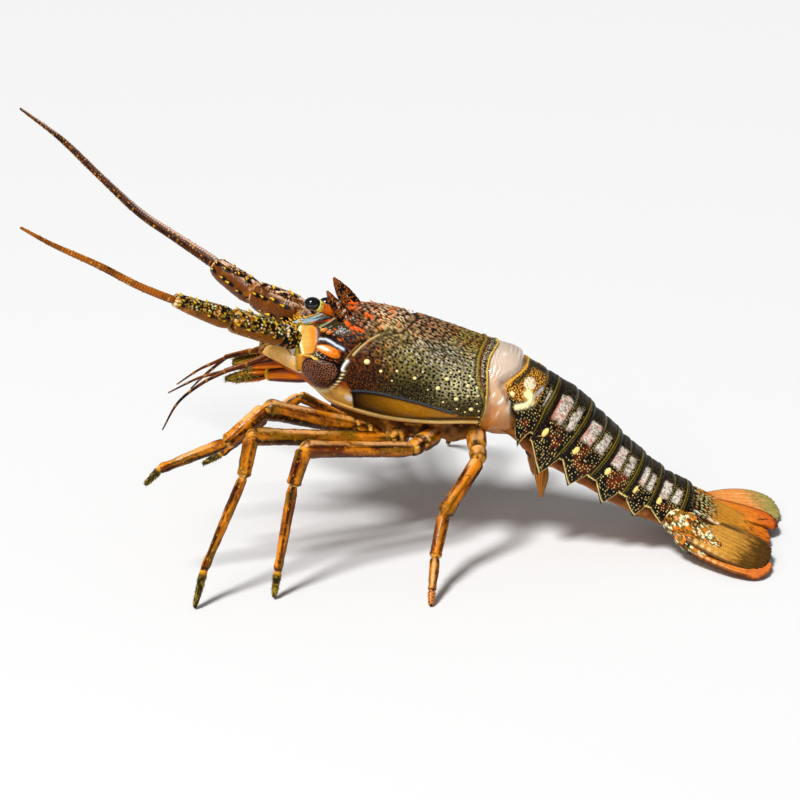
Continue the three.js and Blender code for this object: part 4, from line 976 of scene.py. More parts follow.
def ringPaint(tt, side, u, v, edgeGap, number, seed):
    # colour and relief of one ring from its share along, angle from the crest, millimetres along and round,
    # and the distance up from the lower edge of the side plate
    start, end, _, halfWidth, _, _, _ = tailRings[number]
    tone = tailRingLook
    warp = 0.09 * noise(u, v, 4, seed + 2)
    near, _, own, _ = cells(u, v, 1.25, seed)
    dot = fall(near, 0.16, 0.4) * (own > 0.2)
    tint = mix(tone["black"], tone["dot"], dot * (0.5 + 0.5 * own))
    high = fall(side + warp, 0.36, 0.6)
    grey = mix((26, 22, 16), tone["crest"], fall(near, 0.1, 0.46) * own)
    tint = mix(tint, grey, 0.85 * high)
    relief = 0.16 * fall(near, 0.05, 0.5)
    # a wide painted highlight patch before the groove and a narrow one behind it, mottled in two pale greys
    mottle = noise(u, v, 0.8, seed + 3, 2)
    paintedSheen = mix(tone["paintedSheenDark"], tone["paintedSheen"], ramp(mottle, -0.3, 0.2))
    wide = ramp(tt, 0.05, 0.08) * fall(tt + warp, 0.36, 0.43) * ramp(side + warp, 0.4, 0.5) * (
        1 - ramp(side + warp, 1.08, 1.22))
    slim = ramp(tt + warp, 0.5, 0.56) * fall(tt, 0.7, 0.78) * ramp(side + warp, 0.48, 0.62) * (
        1 - ramp(side + warp, 1.1, 1.22))
    patch = np.maximum(wide, slim)
    # on the first ring the painted highlight patch is a small one on the side
    if number == 0:
        patch = ramp(u, 84.5, 85.5) * fall(u, 88, 89) * ramp(side, 0.5, 0.6) * fall(side, 1, 1.1)
    tint = mix(tint, paintedSheen, 0.92 * patch)
    flush = bump((tt - 0.085) / 0.03) * ramp(side, 0.5, 0.7) * fall(side, 1.2, 1.35)
    tint = mix(tint, tone["pink"], 0.7 * flush)
    # pinkish blotches in the wide painted highlight patch
    tint = mix(tint, (190, 130, 116), 0.45 * wide * blotch(u, v, 4, seed + 12, 0, 0.4))
    # low flank and side plate: black with rust between rows of cream dots, and a cream spot
    low = ramp(side + 0.5 * warp, 1.1, 1.24)
    nearLow, _, ownLow, _ = cells(u, v, 1.75, seed + 5, 0.6)
    lowTone = mix(tone["black"], tone["rust"],
                  blotch(u, v, 5, seed + 6, -0.05, 0.35) * bump((tt - 0.5) / 0.3))
    lowDot = fall(nearLow, 0.05 + 0.11 * ownLow, 0.15 + 0.13 * ownLow) * (ownLow > 0.2)
    lowTone = mix(lowTone, tone["cream"], lowDot)
    tint = mix(tint, lowTone, low)
    relief = relief + 0.3 * low * fall(nearLow, 0.1, 0.3)
    spotSide = (0, 1.48, 1.44, 1.38, 1.36, 1.32)[number]
    spot = np.hypot((u - start - 0.17 * (end - start)) / 1.6, (side - spotSide) * halfWidth / 3.1)
    if number:
        tint = mix(tint, tone["cream"], fall(spot, 0.82, 1.05))
        relief = relief + 0.5 * fall(spot, 0.4, 1.1)
    # groove with a row of dots, and thin lines before the rear edge
    upper = fall(side, 1.3, 1.5)
    grooveAt = 0.47 if number else 0.62
    groove = bump((tt - grooveAt) / 0.05)
    relief = relief - 0.8 * groove * fall(side, 1.5, 1.7)
    tint = mix(tint, tone["black"], 0.9 * bump((tt - grooveAt) / 0.04) * upper)
    beads = ramp(np.cos(v / 2.2 * math.tau), 0.1, 0.5)
    tint = mix(tint, tone["cream"], 0.7 * beads * bump((tt - grooveAt + 0.005) / 0.016) * upper)
    rear = ramp(tt, 0.81, 0.84)
    tint = mix(tint, tone["black"], 0.9 * rear)
    tint = mix(tint, tone["line"], 0.9 * bump((tt - 0.875) / 0.016) * fall(side, 1.75, 1.9))
    relief = relief + 0.35 * bump((tt - 0.875) / 0.03)
    beads = ramp(np.cos(v / 1.5 * math.tau), 0, 0.5)
    tint = mix(tint, (150, 132, 54), 0.8 * beads * bump((tt - 0.94) / 0.02) * fall(side, 1.6, 1.8))
    tint = mix(tint, (34, 18, 8), (0.9 if number else 0) * fall(tt, 0.05, 0.07))
    if number == 0:
        # front of the first ring: rust with yellow dots, a pale oval, a blue-grey painted highlight streak, a
        # cream hook and a yellow edge
        ahead, round_ = u - 69.2, (side + 0.16) * halfWidth
        frontal = fall(u, 80, 83) * ramp(side, 0.05, 0.3) * fall(side + ramp(u, 70, 78) * 0.12, 1.2, 1.3)
        nearDot = cells(u, v, 1.4, seed + 7)[0]
        warm = mix((104, 50, 12), (222, 178, 80), fall(nearDot, 0.2, 0.42))
        tint = mix(tint, warm, frontal)
        tint = mix(tint, (50, 52, 46), 0.9 * bump((tt - 0.13) / 0.045) * fall(side, 0.85, 1))
        oval = np.hypot((ahead - 3.6) / 4, (round_ - 24.6) / 5.4)
        tint = mix(tint, mix((176, 148, 112), (236, 216, 188), ramp(mottle, -0.5, 0)),
                   1 - ramp(oval, 0.8, 1.05))
        # painted highlight: a blue-grey streak across the side
        streak = lineGap(ahead, round_, [(11.5, 22), (9.5, 31)])
        tint = mix(tint, (176, 180, 190), 0.95 * bump(streak / 0.9))
        tint = mix(tint, (222, 176, 66), bump((tt - 0.03) / 0.022) * fall(side, 1, 1.15))
        relief = relief + 0.5 * fall(oval, 0.4, 1.1) + 0.5 * bump((tt - 0.04) / 0.04)
        hook = lineGap(ahead, round_, [(5.6, 31), (8.3, 33), (9.3, 36), (7.3, 39.5), (3.4, 43)])
        tint = mix(tint, (250, 234, 184), np.clip(1.8 * bump(hook / 1.5), 0, 1))
        for at, around, size in ((5.6, 32.5, 2.2), (-3, 37, 1.2)):
            blob = np.hypot(ahead - at, round_ - around)
            tint = mix(tint, (248, 228, 170), np.clip(2 * bump(blob / size), 0, 1))
        relief = relief + 0.6 * bump(hook / 1.4)
    # cream line a little inside the edge of the plate
    plate = ramp(side, 1.6, 1.72)
    inset = 1.1 + 1 * ramp(tt, 0.5, 0.75)
    tint = mix(tint, tone["black"], 0.9 * plate * fall(edgeGap - inset, 0.8, 1.4))
    tint = mix(tint, (232, 208, 140), plate * bump((edgeGap - inset) / 0.5))
    relief = relief + 0.35 * plate * bump((edgeGap - inset) / 0.7)
    return tint, relief


def tailRing(number):
    # an arch of signed powers of sine and cosine over the back, side plates below it, and a flat underside;
    # the rear edge lies over the front of the next ring
    start, end, crest, halfWidth, belly, tip, tipAt = tailRings[number]
    first, last = number == 0, number == 5
    rows = 84
    t = np.linspace(-0.06 if not first else 0, 1 + tailRingLook["overlap"] / (end - start), rows)[:, None]
    angle = np.linspace(-math.pi / 2, math.pi / 2, 232)[None]
    inner = np.clip(t, 0, 1)
    rearDrop = 0.7 * ramp(t, 1, 1 + tailRingLook["overlap"] / (end - start))
    swell = -tailRingLook["step"] + (tailRingLook["step"] + 0.3) * ramp(t, 0, 0.4) - rearDrop
    swell = swell + (0.6 if first else 0) * fall(t, 0, 0.3)
    taper = 1 - (0.04 if last else 0.08) * inner
    plateRise = tailRingLook["firstRise" if first else "plateRise"]
    reach = np.where(inner < tipAt, inner / tipAt, np.maximum(0, 1 - (inner - tipAt) / plateRise))
    drop = belly + (tip - belly) * reach
    width = halfWidth * taper + swell
    top = crest * taper + swell
    shoulder = belly * 0.4
    across, upright = np.sin(angle), np.cos(angle)
    archY = width * signed(across, 0.9)
    archH = shoulder + (top - shoulder) * np.abs(upright) ** 0.9
    thick = tailRingLook["plateThickness"]
    share = np.linspace(0, 1, 34)[None, 1:]
    plateY = width - 1.2 * share + 0.8 * np.sin(math.pi * share)
    plateH = shoulder + (drop - shoulder) * share
    turnY = np.concatenate([width - 2, width - 1.2 - thick * 0.7, width - 1.2 - thick, width - 2.2 - thick], 1)
    innerLow = np.minimum(drop + 2, belly - 0.3)
    turnH = np.concatenate([drop - 0.3, drop + 0.2, innerLow, belly + 0 * innerLow], 1)
    flat = np.linspace(1, -1, 20)[None, 1:-1]
    flatY = (width - 2.2 - thick) * flat
    flatH = belly - 0.5 * (1 - np.abs(flat)) + 0 * width
    y = np.concatenate([archY, plateY, turnY, flatY, -turnY[:, ::-1], -plateY[:, ::-1]], 1)
    h = np.concatenate([archH, plateH, turnH, flatH, turnH[:, ::-1], plateH[:, ::-1]], 1)
    begin = np.interp(h, *zip(*firstEdge)) if first else start
    s = begin + (end - begin) * t
    base = bodyPoint(s, y, h)
    normals = outward(base, gridNormals(base, True), bodyPoint(s, 0 * y, 0 * y))
    # angles for painting: the plate continues the arch, and the underside follows
    flank = np.concatenate([1.57 + share * 0.6, [[2.22, 2.27, 2.47, 2.57]]], 1)
    turn = np.concatenate([angle, flank, 0 * flat + 3, -flank[:, ::-1]], 1) + 0 * t
    depth = (shoulder - h) + 0 * turn
    side, tt = np.abs(turn), t + 0 * turn
    u = s + 0 * turn
    v = np.sign(turn) * (np.minimum(side, 1.57) * halfWidth + np.where(side > 1.57, depth, 0))
    seed = 300 + 20 * number
    tint, relief = ringPaint(tt, side, u, v, np.abs(h - drop), number, seed)
    below = ramp(side, 2.18, 2.28)
    flesh = mix((110, 54, 18), (178, 106, 48), blotch(u, v, 5, seed + 4, -0.3, 0.5))
    tint = mix(tint, flesh, below) * (1 + 0.14 * noise(u, v, 5, seed + 8))[..., None]
    relief = np.where(side > 2.12, 0, relief)
    return closedPart(base + normals * relief[..., None], tint, 0.34 + 0.08 * noise(u, v, 4, seed + 9))


for number in range(6):
    nodes = [f"abdomen_{number + 1}"]
    makePiece(f"tailRing{number + 1}", [tailRing(number)], ringFinish, nodes)
print("neck and tail rings done")

bellyLook = {"start": 72, "end": 189.5, "depth": 8.5, "step": 2.6}


def bellySkin():
    # a shallow trough of flesh under the rings, with a cross rib under each
    heights = [((a + b) / 2, belly, wide) for a, b, _, wide, belly, _, _ in tailRings]
    s = np.linspace(bellyLook["start"], bellyLook["end"], 190)[:, None]
    angle = turns(96)[None]
    top = smoothAt(heights, s, 1) - bellyLook["step"] + 1.8
    wide = smoothAt(heights, s, 2) - 7
    ribs = 1 * bump(((s - 91 + 10.5) % 21 - 10.5) / 2.2)
    depth = bellyLook["depth"] + 1.6
    y = wide * signed(np.sin(angle), 0.7)
    h = top - depth / 2 + (depth / 2 + ribs) * signed(np.cos(angle), 0.7)
    points = bodyPoint(s, y, h)
    u, v = s + 0 * y, np.abs(angle - math.pi) * 14 + 0 * s
    tint = mix((140, 80, 24), (186, 122, 56), blotch(u, v, 6, 401, -0.1, 0.6))
    return closedPart(points, tint, 0.4)


makePiece("bellyFlesh", [bellySkin()], fleshFinish, ["abdomen_underside"], 1.08)

swimmeretLook = {"length": 21, "width": 9, "thickness": 1.4, "spread": 15, "drop": 8.3,
                 "lean": (0.02, 2.4, 2.6, 2.8)}


def swimmeret(number, side):
    # a leaf: q across and t down it, its half width a sine of t, cupped by sin(pi t)(1 - q squared)
    start, end, _, halfWidth, ringBelly, _, _ = tailRings[number]
    lean = swimmeretLook["lean"][number - 1]
    share = halfWidth / tailRings[1][3]
    place = (start + end) / 2 + (3.5 if number == 1 else 0)
    root = bodyPoint(place, side * swimmeretLook["spread"] * share, ringBelly - swimmeretLook["drop"])
    scale = share * (1.15 if number == 1 and side < 0 else 0.5)
    down = unit(np.array([lean, side * 0.22, -1 - lean * 0.6]))
    across = unit(np.array([0.8, side * 0.55, 0]))
    normal = unit(np.cross(down, across))
    t = np.linspace(-0.12, 1, 44)[:, None, None]
    q = np.linspace(-1, 1, 31)[None, :, None]
    tip = np.maximum(fall(t, 0.3, 1.3), 0.05)
    belly = 0.35 + 0.65 * np.sin(math.pi * (0.12 + 0.74 * np.clip(t, 0, 1)))
    wide = swimmeretLook["width"] * scale * 0.5 * belly * tip
    points = (root + down * swimmeretLook["length"] * scale * t + across * q * wide
              + normal * 0.8 * np.sin(math.pi * np.clip(t, 0, 1)) * (1 - q**2))
    veins = 0.5 + 0.5 * np.cos(q[..., 0] * 14 + 3 * t[..., 0])
    tint = mix((122, 72, 20), (190, 126, 48), veins * 0.5 + 0.3 * (np.abs(q[..., 0]) > 0.85))
    return slabPart(points, swimmeretLook["thickness"], normal, tint, 0.35)


for word, side in sideWords:
    for number in range(1, 5):
        makePiece(f"{word}Swimmeret{number + 1}", [swimmeret(number, side)], fleshFinish,
                  [f"swimmeret_{word}_{number + 1}"], 1.05)
print("belly and swimmerets done")


# ---- tail fan ----

# root, tip, width, how wide the root is for that, curl of the sides, roll, and how it is painted
fanTable = {
    "telson": ((173.5, 0, -54.6), (224, 0, -80.6), 30, 0.9, 1, 0.2, "shell"),
    "uropod_inner_left": ((175, -17, -65.3), (221, -33, -79.4), 36, 0.8, 0.4, 0.18, "tan"),
    "uropod_inner_right": ((178, 14, -60.5), (230, 26, -79), 32, 0.5, 1, 0, "orange"),
    "uropod_outer_left": ((176, -25, -75.5), (221, -41, -81.7), 30, 0.5, 0.2, 0.04, "pinkOrange"),
    "uropod_outer_right": ((178, 23, -66.5), (232.5, 48, -79.5), 32, 0.32, 0.3, 0.38, "pink"),
}
# root colour, blade colour, rib colour, and the colour towards the tip
fanTones = {
    "shell": ((58, 50, 18), (196, 140, 50), (214, 158, 66), (206, 116, 30)),
    "tan": ((66, 56, 16), (196, 146, 66), (220, 170, 90), (66, 48, 8)),
    "orange": ((130, 66, 18), (222, 134, 36), (240, 160, 66), (212, 108, 28)),
    "pinkOrange": ((80, 52, 16), (206, 128, 52), (232, 164, 92), (206, 122, 60)),
    "pink": ((140, 80, 36), (220, 152, 84), (238, 182, 126), (150, 148, 92)),
}
fanLook = {"thickness": 1.5, "roundEnd": 0.06}


def fanBlade(name, seed):
    # t along and q across: length (t - 0.06 q squared t cubed), half width a sine of t, sides curled down
    root, tip, width, rootShare, curl, roll, kind = fanTable[name]
    root, tip = np.array(root, float), np.array(tip, float)
    along = tip - root
    length = np.linalg.norm(along)
    along = along / length
    level = unit(np.cross(np.array([0, 0, 1.0]), along))
    across = level * math.cos(roll) + np.cross(along, level) * math.sin(roll)
    normal = np.cross(along, across)
    t = np.linspace(0, 1, 140)[:, None]
    q = np.linspace(-1, 1, 121)[None]
    wide = 0.5 * width * (rootShare + (1 - rootShare) * np.sin(math.pi * 0.62 * t) ** 1.1) * (1 - 0.2 * t**5)
    corner = 1 - 0.10 * ramp(t, 0.88, 1) ** 2
    fray = 1 + 0.018 * noise(q * 40, 0 * q, 2, seed) * ramp(t, 0.6, 1)
    reach = length * (t - fanLook["roundEnd"] * q**2 * t**3) * fray
    ribs = np.cos(q * 26 + 2 * np.sin(q * 3)) * ramp(t, 0.15, 0.5)
    u, v = t * length + 0 * q, q * wide
    fine = noise(u * 0.35, v, 1.2, seed + 1)
    middleRib = bump(q / 0.1) * fall(t, 0.55, 0.9)
    # stiff shelly part near the root, soft blade towards the tip
    stiff = fall(t + 0.10 * q**2 + 0.05 * fine, *((0.24, 0.44) if kind == "shell" else (0.14, 0.3)))
    relief = 0.12 * ribs * (1 - stiff) + 0.5 * middleRib + 0.3 * stiff
    relief = relief - 0.9 * ramp(np.abs(q), 0.86, 1)
    points = (root + along * reach[..., None] + across * (q * wide * corner)[..., None]
              - normal * (curl * q**2 * (1 - 0.6 * t) - relief)[..., None])
    base, blade, ribTone, tipTone = (paint(*tone) for tone in fanTones[kind])
    # fine dots over the blade, short cream dashes along the stiff part
    near, _, own, _ = cells(u, v, 0.9, seed + 2)
    dash, _, dashOwn, _ = cells(u * 0.4, v, 1.15, seed + 4)
    tint = mix(blade, ribTone, 0.5 * ramp(ribs, 0.1, 0.9) + 0.3 * ramp(fine, 0, 0.5))
    tint = mix(tint, base, 0.55 * fall(near, 0.1, 0.4) * fall(t, 0.5, 0.75))
    tint = mix(tint, tipTone, 0.9 * ramp(t + 0.12 * fine, *((0.5, 0.86) if kind == "tan" else (0.62, 0.92))))
    shelly = mix(base * 0.5, (228, 212, 150), fall(dash, 0.22, 0.4) * (dashOwn > 0.3))
    shelly = mix(shelly, (196, 104, 30), fall(dash, 0.22, 0.4) * (dashOwn < 0.18))
    tint = mix(tint, shelly, stiff)
    rim = ramp(np.abs(q) + 0 * t, 0.9, 0.97)
    end = ramp(t + 0 * q, 0.93, 0.985)
    tint = mix(tint, (70, 34, 8), 0.75 * np.maximum(rim * ramp(1 - t, 0.05, 0.2), end * (kind == "orange")))
    near, _, own, _ = cells(u * 0.25, v, 1.3, seed + 6)
    streaks = fall(near, 0.15, 0.4) * (own > 0.4) * ramp(t, 0.5, 0.75)
    tint = mix(tint, (84, 42, 8), (0.75 if kind in ("tan", "shell") else 0.35) * streaks)
    if kind == "shell":
        # dark line and a broken whitish painted highlight streak on the near side, darker olive below the
        # middle
        tint = mix(tint, (96, 70, 14), 0.7 * ramp(-q + 0 * t, 0.1, 0.5) * ramp(t, 0.5, 0.7))
        # painted highlight: a broken whitish streak near the near edge
        paintedSheen = bump((-q - 0.78) / 0.07) * ramp(t, 0.04, 0.1) * fall(t, 0.72, 0.86)
        paintedSheen = paintedSheen * blotch(u * 0.7, v, 1.6, seed + 7, -0.3, 0.1)
        tint = mix(tint, (36, 24, 8), 0.8 * bump((-q - 0.94) / 0.06) * fall(t, 0.7, 0.9))
        tint = mix(tint, (222, 220, 214), paintedSheen)
    if kind in ("tan", "pinkOrange"):
        edge = bump((-q - 0.86) / 0.08) * fall(t, 0.35, 0.6)
        tint = mix(tint, (216, 196, 150), 0.8 * edge * ramp(np.cos(u * 1.4), -0.6, 0.3))
        tint = mix(tint, (30, 20, 8), 0.8 * bump((q - 0.8) / 0.12) * fall(t, 0.45, 0.8))
    if kind == "orange":
        notch = lineGap(t * 3, q, [(2.2, -0.62), (2.6, -0.3)])
        tint = mix(tint, (70, 30, 8), 0.85 * bump(notch / 0.06))
        tint = mix(tint, (80, 52, 16), 0.8 * bump((q - 0.72) / 0.12) * ramp(t, 0.25, 0.4))
    tint = tint * (1 + 0.15 * noise(u, v, 6, seed + 3))[..., None]
    # painted shade: each blade's underside gets its colour at 0.6, darker than the top
    blades = [slabPart(points, fanLook["thickness"], normal, tint, 0.4, tint * 0.6)]
    # fringe of short hairs along the rear edge
    pick = np.random.default_rng(seed)
    column = pick.integers(4, 117, 200)
    edge = points[-1, column] - normal * 0.7
    lean = along + across * (q[0, column] * 0.5 + pick.normal(0, 0.12, 200))[:, None] - normal * 0.1
    blades.append(spikes(edge - along * 0.6, lean, pick.uniform(0.8, 1.8, 200), 0.16,
                         tipTone * 0.8, tipTone * 0.5, sides=4, rows=3))
    return blades


for order, name in enumerate(fanTable):
    words = name.split("_")
    title = words[0] + "".join(word.capitalize() for word in words[1:])
    makePiece(title, fanBlade(name, 500 + 10 * order), fanFinish, [name])


rootRidges = {
    -1: ([(171, -18, -59.5, 4.6), (178, -23.5, -64.5, 5.2), (186, -28, -70, 3.6), (193, -31, -73.4, 1.6)],
         [(167, -24, -68, 4.4), (174, -27.5, -73, 4.8), (183, -31.5, -76.5, 3.6), (193, -35, -77.8, 1.4)]),
    1: ([(171, 16, -58.5, 4.6), (178, 19, -61.5, 4.8), (186, 21.5, -64.5, 3.4), (192, 23, -66.5, 1.6)],
        [(168, 22, -64.5, 4.4), (176, 26, -67.5, 4.6), (185, 30, -70, 3.2), (194, 34, -72, 1.4)]),
}


def fanRoot(side):
    # the stub that carries two blades: cream, orange and black patches, and a ridge over each blade's root
    grid = limbGrid([(162.5, side * 14, -61.5, 5.4), (166, side * 18, -63, 8), (171, side * 22, -65, 8),
                     (176, side * 24.5, -67.6, 5.8), (181, side * 26, -70, 3.4)], 72, step=0.4, blunt=0.9)
    parts = [rootSkin(grid)]
    # a swollen ridge over the root of each blade
    for places in rootRidges[side]:
        parts.append(rootSkin(limbGrid(places, 60, step=0.4, blunt=0.9)))
    return parts


def rootSkin(grid):
    # long cream, orange and black patches in a wavy mosaic with golden lines between them
    u, v = grid["along"], grid["fold"]
    bend = 1.4 * noise(u, v, 4, 603)
    near, second, own, _ = cells(u * 0.6 + bend, v * 0.9 + bend, 1.5, 601)
    gap = second - near
    tint = mix((142, 112, 44), (236, 224, 184), (own > 0.46) * ramp(gap, 0.05, 0.3))
    tint = mix(tint, (206, 132, 48), own > 0.86)
    tint = mix(tint, (126, 70, 20), own < 0.12)
    tint = mix(tint, (22, 14, 6), fall(gap, 0.1, 0.22) * (noise(u, v, 3, 605) > -0.1))
    tint = mix(tint, (206, 128, 24), fall(gap, 0.05, 0.16) * (noise(u, v, 3, 605) <= -0.1))
    tint = mix(tint, (206, 116, 30), 0.85 * ramp(1 - grid["share"], 0.86, 0.97))
    tint = tint * (1 + 0.2 * noise(u, v, 0.8, 607))[..., None]
    return closedPart(limbPoints(grid, 0.4 * ramp(gap, 0.05, 0.5)), tint, 0.3)


for word, side in sideWords:
    makePiece(f"{word}FanRoot", fanRoot(side), ringFinish, [f"uropod_base_{word}"])
print("tail fan done")


# ---- feelers ----

feelerTable = {
    "left": {
        "base": [(-50, -10, 33, 5.4), (-56, -14, 37, 6.3), (-61, -18, 41.5, 6.2), (-66, -22, 45.5, 7),
                 (-68, -23.6, 46.8, 6.2)],
        "merus": [(-66.5, -22.5, 46, 5.8), (-69, -24.4, 47.3, 7), (-73, -26.4, 49.2, 7.8),
                  (-82, -31.2, 53.4, 7.6),
                  (-91, -36.4, 58, 7.5), (-94.5, -38.5, 59.8, 6.8)],
        "carpus": [(-93.5, -38, 59.5, 5.8), (-97.5, -40.5, 61.5, 6.6), (-103, -44, 64.5, 6.3),
                   (-111, -49.2, 69, 5.4),
                   (-118, -54, 73.5, 4.7), (-122.6, -57.6, 76.5, 3.8)],
        "flagellum": [(-121.5, -57, 76, 2.3), (-124.5, -59, 77.5, 2.4), (-140, -71, 88.5, 2.2),
                      (-156.4, -84, 102.5, 2),
                      (-178, -101, 119, 1.4), (-191.2, -111.3, 130.6, 0.8)],
        "look": {"low": (142, 92, 28), "dark": (34, 26, 8), "light": (178, 148, 52), "pale": (232, 222, 180),
                 "warm": (214, 140, 40), "specklesFrom": (-0.4, 0.15), "crest": 0.3, "grain": 1.7, "patch": 1,
                 "tangle": 1, "whipDark": (104, 58, 10), "whipLight": (196, 122, 40),
                 "whipDots": (226, 170, 90), "whipShine": 0.2,
                 "whipSpots": 0.04},
    },
    "right": {
        "base": [(-49, 9, 31, 6.4), (-54, 14, 35, 8), (-58, 18, 39.5, 8), (-61, 22, 43.5, 8.6),
                 (-64, 24, 45.5, 7.6)],
        "merus": [(-60.5, 22.6, 44.4, 7.6), (-64, 24.5, 45, 9.2), (-70, 27.2, 45.4, 11), (-80, 32, 47.6, 10.6),
                  (-91, 37.4, 51.2, 8.9), (-94.5, 39.2, 52.2, 7.6)],
        "carpus": [(-93, 38.4, 51.9, 7.2), (-97, 41, 53, 8.2), (-104, 45, 56, 8.2), (-111, 49.2, 59.2, 7.6),
                   (-117, 53, 62, 6.9), (-121.6, 56.6, 64.6, 5.2)],
        "flagellum": [(-120.5, 56, 64, 3.4), (-124, 58.5, 66.2, 3.8), (-148, 68, 78, 3.2),
                      (-173.2, 78, 90.8, 2.8),
                      (-198, 88, 109, 2.3), (-222.9, 98, 128.8, 2.1), (-233, 101, 136, 1.7),
                      (-256.5, 110.1, 149.4, 0.8)],
        "look": {"low": (112, 66, 20), "dark": (38, 18, 6), "light": (140, 84, 28), "pale": (228, 196, 172),
                 "warm": (214, 150, 44), "specklesFrom": (0.5, 1), "crest": 1.2, "grain": 1.5, "patch": 1.6,
                 "tangle": 0, "whipDark": (30, 14, 4), "whipLight": (92, 48, 14), "whipDots": (214, 150, 50),
                 "whipShine": 0.9,
                 "whipSpots": 0.2},
    },
}


def feelerJoint(places, look, seed, spineLength, count, tangled=False):
    # a swollen joint: plain below, speckled above, with rows of yellow spines in black patches
    grid = limbGrid(places, 96, step=0.42, blunt=0.4)
    u, v = grid["along"], grid["fold"]
    lift = grid["lift"]
    pale, warm = look["pale"], look["warm"]
    near, _, own, _ = cells(u, v, look["grain"], seed)
    core = fall(near, 0.15, 0.5)
    speckle = mix(look["dark"], look["light"], core * (own > 0.2))
    speckle = mix(speckle, pale, core * (own > 0.66))
    speckle = mix(speckle, warm, core * (own > 0.86))
    patch = noise(u, v, 6, seed + 1)
    high = ramp(lift + 0.35 * patch, *look["specklesFrom"])
    tint = mix(paint(*look["low"]) * (1 + 0.28 * noise(u, v, 1.2, seed + 4))[..., None], speckle, high)
    # painted highlight: pale streaks along the top, in patches
    crest = look["crest"] * ramp(lift, 0.7, 0.9) * blotch(u * 0.3, v, 3, seed + 5, 0, 0.25)
    tint = mix(tint, pale, np.clip(0.8 * crest, 0, 1))
    tint = mix(tint, warm, 0.5 * ramp(patch, 0.25, 0.55))
    if tangled:
        grain = mix((22, 15, 8), (220, 176, 40), core * (own > 0.45))
        grain = mix(grain, (206, 104, 34), core * (own > 0.7))
        tint = mix(grain, (236, 226, 206), core * (own > 0.84))
    cuff = np.clip(ramp(grid["share"], 0.9, 0.94) + 1 - ramp(grid["share"], 0.03, 0.07), 0, 1)
    cuffTone = mix((200, 140, 44), pale, blotch(u, v, 2, seed + 6, 0, 0.3))
    cuffTone = mix(cuffTone, (16, 11, 6), blotch(u, v, 2.4, seed + 8, 0.1, 0.3))
    tint = mix(tint, cuffTone, 0.8 * cuff * (not tangled))
    relief = 0.3 * core * high - 0.3
    points = limbPoints(grid, relief)
    pick = np.random.default_rng(seed)
    rows = points.shape[0]
    spines = []
    for turn in np.linspace(0, 96, 7, endpoint=False):
        row = np.linspace(rows * 0.18, rows * 0.86, count) + pick.uniform(-4, 4, count)
        row = np.clip(row, 8, rows - 8).astype(int)
        column = (int(turn) + pick.integers(-3, 4, count)) % 96
        out = grid["out"][row, column]
        ahead = unit(points[np.minimum(row + 2, rows - 1), column] - points[row - 2, column])
        root = points[row, column]
        size = spineLength * pick.uniform(0.6, 1.15, count) * np.where(out[:, 2] > -0.3, 1, 0.5)
        # black patch round each root, reaching a little back from it
        for k in range(count):
            gap = points - (root[k] - ahead[k] * 0.8)
            length = gap @ ahead[k]
            aside = np.maximum(np.sum(gap**2, -1) - length**2, 0)
            distance = np.sqrt(aside / 0.8 + (length / 1.9) ** 2) / look["patch"]
            tint = mix(tint, (12, 9, 6), fall(distance, 0.8, 1.25) * np.where(size[k] > 2.2, 1, 0.4))
        spines.append(spikes(root - out * 0.4, out * 0.7 + ahead, size, size * 0.3, (60, 40, 10),
                             (246, 196, 44), hook=0.12, tipAt=(0.12, 0.4)))
    return [closedPart(points, tint, 0.36), *spines]


def whipPart(places, look, seed, bristles):
    # a long feeler, finely ringed: a sine along it moves its radius and its colour
    grid = limbGrid(places, 30, step=0.35, blunt=0.8)
    u, v = grid["along"], grid["fold"]
    ringed = 0.5 + 0.5 * np.cos(u / 1.9 * math.tau)
    shade = noise(u, v, 9, seed)
    tint = mix(look["whipLight"], look["whipDark"], 0.4 * ringed + 0.5 * ramp(shade, -0.2, 0.5))
    # painted shade: darker brown on the underside
    tint = mix(tint, (30, 16, 6), 0.6 * ramp(-grid["lift"], 0.3, 0.9))
    near, _, own, _ = cells(u, v, 2, seed + 1)
    tint = mix(tint, look["whipDots"], fall(near, 0.2, 0.36) * (own > 0.86))
    tint = mix(tint, (12, 7, 3), fall(near, 0.3, 0.5) * (own < look["whipSpots"]))
    tint = mix(tint, (236, 206, 190), look["whipShine"] * ramp(grid["lift"], 0.72, 0.9) * (0.4 + 0.6 * ringed))
    points = limbPoints(grid, -0.1 * ringed * np.minimum(1, grid["radius"]))
    parts = [closedPart(points, tint, 0.38)]
    pick = np.random.default_rng(seed)
    place, out, row, column = rooted(grid, points, pick, (10, len(points) - 10), bristles)
    ahead = unit(points[row + 3, column] - points[row - 3, column])
    parts.append(spikes(place - out * 0.1, out + ahead * 1.4, pick.uniform(0.8, 1.4, bristles),
                        0.3, (170, 116, 36), (236, 190, 96), sides=5, rows=3))
    return parts


for word, side in sideWords:
    table = feelerTable[word]
    seed = 700 if side < 0 else 750
    makePiece(f"{word}FeelerBase", feelerJoint(table["base"], table["look"], seed, 2.6, 4, side < 0)
              + feelerJoint(table["merus"], table["look"], seed + 1, 3.8, 4), headFinish,
              [f"antenna_{word}_merus"])
    makePiece(f"{word}FeelerJoint", feelerJoint(table["carpus"], table["look"], seed + 2, 3.4, 4), headFinish,
              [f"antenna_{word}_carpus"])
    whip = whipPart(table["flagellum"], table["look"], seed + 3, 240 if side > 0 else 90)
    makePiece(f"{word}FeelerWhip", whip, whipFinish, [f"antenna_{word}_flagellum"])

